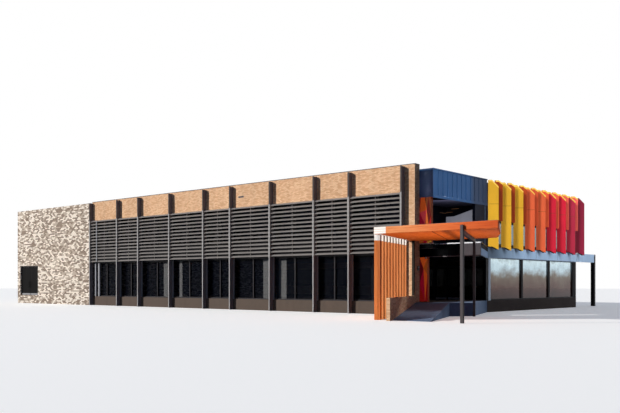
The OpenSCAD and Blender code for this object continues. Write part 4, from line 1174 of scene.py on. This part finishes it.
def add_door_plates():
    """A brushed kick plate along the foot of each leaf."""
    for name in LEAVES:
        low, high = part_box(name + "_leaf")
        face = high.y - LEAF_T
        mesh = bmesh.new()
        block(mesh, (low.x + KICK_SIDE, face - KICK_OUT, low.z + KICK_FOOT),
              (high.x - KICK_SIDE, face + KICK_BACK, low.z + KICK_HEAD))
        add_piece(name + "_kick", mesh, [BRUSHED], body=name + "_door", bevel=KICK_EDGE)


# Ribbed sheets on the two roofs, as plan x from, plan y from, and plan x to

ROOFS = [(-17.33, 0.16, -0.45), (-23.54, -0.015, -17.505)]
ROOF_REAR = 11.05
ROOF_SHEET_LOW, ROOF_SHEET_TOP = 0.001, 0.007
RIB_STEP = 0.25
RIB_H = 0.03
RIB_FOOT_HALF, RIB_HEAD_HALF = 0.02, 0.01


def add_roof_sheets():
    top, rib_top = ROOF_Z + ROOF_SHEET_TOP, ROOF_Z + RIB_H
    mesh = bmesh.new()
    for x0, y0, x1 in ROOFS:
        block(mesh, plan(x0, y0, ROOF_Z + ROOF_SHEET_LOW), plan(x1, ROOF_REAR, top))
        count = int((x1 - x0) / RIB_STEP)
        step = (x1 - x0) / count
        x = x0 + step
        rib = bmesh.new()
        outline = [plan(x - RIB_FOOT_HALF, y0, top), plan(x + RIB_FOOT_HALF, y0, top),
                   plan(x + RIB_HEAD_HALF, y0, rib_top), plan(x - RIB_HEAD_HALF, y0, rib_top)]
        prism(rib, outline, (0, ROOF_REAR - y0, 0))
        add_row(mesh, rib, count - 1, (step, 0, 0), ROOFING)
    add_piece("roof_sheets", mesh, [ROOFING])


# Rear window sills

REAR_WINDOWS = 10
REAR_FROM_X, REAR_TO_X = -17.345, 0.34
SILL_RISE = 0.5
SILL_W = 1.0
SILL_SECTION = [(11.145, 0.0), (11.23, -0.02), (11.23, -0.035), (11.145, -0.02)]


def add_rear_sills():
    step = (REAR_TO_X - REAR_FROM_X) / REAR_WINDOWS
    x = REAR_FROM_X + step / 2 - SILL_W / 2
    sills = [bmesh.new(), bmesh.new()]
    for sill, floor in zip(sills, (FLOOR_Z, UPPER_Z)):
        prism(sill, [plan(x, y, floor + SILL_RISE + z) for y, z in SILL_SECTION], (SILL_W, 0, 0))
    add_rows("rear_sills", sills, REAR_WINDOWS, (step, 0, 0), CHARCOAL)


add_box_cladding()
add_terrace_light_patch()
add_triangles()
add_blade_trim()
add_wing_trim()
add_blinds()
add_solids("bay_uprights", BAY_UPRIGHTS, [POST], bevel=ROUND_EDGE)
add_canopy_fascia()
add_canopy_sheet()
add_canopy_soffit()
add_solids("canopy_wall_post", WALL_POST_SOLIDS, [WALL_POST], bevel=ROUND_EDGE)
add_screen_boards()
add_awning_trim()
add_fittings()
add_door_plates()
add_roof_sheets()
add_rear_sills()

# Stage: a pale floor, a white background and soft light. The side away from the sun has its own sky light.

BLADES = ["yellow_blades", "orange_blades", "red_blades", "crimson_blades", "short_blades",
          "blade_caps", "blade_joints"]
SIDE_PIECES = ["metal_box", "box_seams", "box_edge_trim", "box_top_flashing", "wing_beam",
               "beam_joints", "rear_porch", "wing_glass", "wing_head_strip", "wing_jamb_cover",
               "blade_rails", "blade_wall", "foot_brackets", "awning_end_panel", "terrace_rear_panel",
               "terrace_strips", "jamb_corner_strip"]
UNDER_CANOPY = ["canopy_soffit", "canopy_roof", "soffit_joint", "soffit_white_trim"]
TERRACE_INSIDE = ["terrace_rear_panel", "terrace_strips", "terrace_ceiling"]
SCREEN_FACE = ["screen_battens", "screen_boards", "screen_end_board"]
AWNING_FACE = ["awning_grey_panel"]
TRIANGLES = ["colour_triangles"]


def named_objects(label, names):
    chosen = bpy.data.collections.new(label)
    for name in names:
        chosen.objects.link(bpy.data.objects[name])
    return chosen


def light_only(lamp, names, blockers=None):
    """Lets a lamp light the named objects alone, with nothing thrown on from them."""
    lamp.data.cycles.max_bounces = 0
    lamp.light_linking.receiver_collection = named_objects(lamp.name + "_objects", names)
    if blockers:
        lamp.light_linking.blocker_collection = named_objects(lamp.name + "_blockers", blockers)


def new_lamp(name, kind, energy, colour):
    lamp = new_object(name, bpy.data.lights.new(name, kind))
    lamp.data.energy = energy
    lamp.data.color = colour
    return lamp


def add_sun(name, energy, angle, azimuth, elevation, colour, names=None, blockers=None):
    """A sun of the given width whose light comes from the azimuth, in degrees from -Y towards -X."""
    lamp = new_lamp(name, "SUN", energy, colour)
    lamp.data.angle = math.radians(angle)
    lamp.rotation_euler = (math.radians(90 - elevation), 0, math.radians(-azimuth))
    if names:
        light_only(lamp, names, blockers)


def add_panel_light(name, watts, size, place, target, colour, names):
    lamp = new_lamp(name, "AREA", watts, colour)
    lamp.data.shape = "RECTANGLE"
    lamp.data.size, lamp.data.size_y = size
    lamp.location = plan(*place)
    lamp.rotation_euler = (plan(*target) - lamp.location).to_track_quat("-Z", "Y").to_euler()
    lamp.visible_camera = False
    lamp.visible_glossy = False
    light_only(lamp, names)


FLOOR_SIZE = 120.0
FLOOR_DROP = 0.002
FLOOR_ROUGHNESS = 0.9
FLOOR_GLOW = 0.3
FLOOR_SEEN, FLOOR_UNSEEN = (246, 246, 244), (72, 76, 82)
SKY_COLOUR = (0.36, 0.56, 1.0, 1.0)
SKY_STRENGTH = 0.17


def seen_ray(t):
    """One for a ray from the camera, or one that comes by way of metal or glass."""
    rays = t.node("ShaderNodeLightPath").outputs
    seen = t.math("MAXIMUM", rays["Is Camera Ray"], rays["Is Glossy Ray"])
    return t.math("MAXIMUM", seen, rays["Is Transmission Ray"])


def add_floor():
    """Pale where it is seen, itself or in glass, and darker to the light that it throws back."""
    size = FLOOR_SIZE
    data = bpy.data.meshes.new("floor")
    data.from_pydata([(-size, -size, 0), (size, -size, 0), (size, size, 0), (-size, size, 0)], [],
                     [(0, 1, 2, 3)])
    floor = new_object("floor", data)
    floor.location.z = -FLOOR_DROP
    paint, t, shader = plain_material("floor_paint")
    tone = t.mix(seen_ray(t), srgb(*FLOOR_UNSEEN), srgb(*FLOOR_SEEN))
    t.link(tone, shader.inputs["Base Color"])
    shader.inputs["Roughness"].default_value = FLOOR_ROUGHNESS
    shader.inputs["Emission Color"].default_value = WHITE
    t.link(t.math("MULTIPLY", seen_ray(t), FLOOR_GLOW), shader.inputs["Emission Strength"])
    data.materials.append(paint)


def add_world():
    world = bpy.data.worlds.new("sky")
    world.use_nodes = True
    t = Tree(world.node_tree)
    light = world.node_tree.nodes["Background"]
    light.inputs["Color"].default_value = SKY_COLOUR
    light.inputs["Strength"].default_value = SKY_STRENGTH
    white = t.node("ShaderNodeBackground", {"Color": WHITE, "Strength": 1.0})
    final = t.node("ShaderNodeMixShader", {0: seen_ray(t), 1: light.outputs[0], 2: white.outputs[0]})
    t.link(final.outputs[0], world.node_tree.nodes["World Output"].inputs[0])
    bpy.context.scene.world = world


def add_lights():
    """Suns as strength, width, azimuth, elevation and colour, and two panels of bounced light."""
    everything = [made.name for made in bpy.data.objects if made.type == "MESH" and made.name != "floor"]
    sky = (0.9, 0.95, 1.0)
    warm = (1.0, 0.95, 0.9)
    add_sun("key_light", 4.15, 1.5, 42, 20, (1.0, 0.96, 0.9))
    add_sun("rear_light", 2.4, 12, 180, 40, (1.0, 1.0, 1.0), everything)
    add_sun("side_light", 1.85, 50, -60, 20, sky, SIDE_PIECES)
    add_sun("blade_fill", 1.5, 50, -60, 20, (1.0, 0.86, 0.7), BLADES)
    add_sun("blade_light", 2.0, 8, -10, 17, (1.0, 0.98, 0.95), BLADES)
    add_sun("screen_light", 2.9, 12, -35, 1.5, warm, SCREEN_FACE, SCREEN_FACE)
    add_sun("awning_fill", 1.5, 30, -30, 10, sky, AWNING_FACE, AWNING_FACE)
    add_sun("triangle_fill", 1.3, 20, -40, 8, warm, TRIANGLES, TRIANGLES)
    add_panel_light("canopy_bounce", watts=60, size=(3.3, 3.2), place=(2.2, -1.9, 0.62),
                    target=(2.0, -1.6, 2.3), colour=(1.0, 0.9, 0.82), names=UNDER_CANOPY)
    add_panel_light("terrace_bounce", watts=22, size=(1.2, 1.0), place=(0.3, 1.4, 3.4),
                    target=(-0.4, 3.5, 2.9), colour=sky, names=TERRACE_INSIDE)


add_floor()
add_world()
add_lights()
bpy.context.scene.view_settings.view_transform = "Standard"
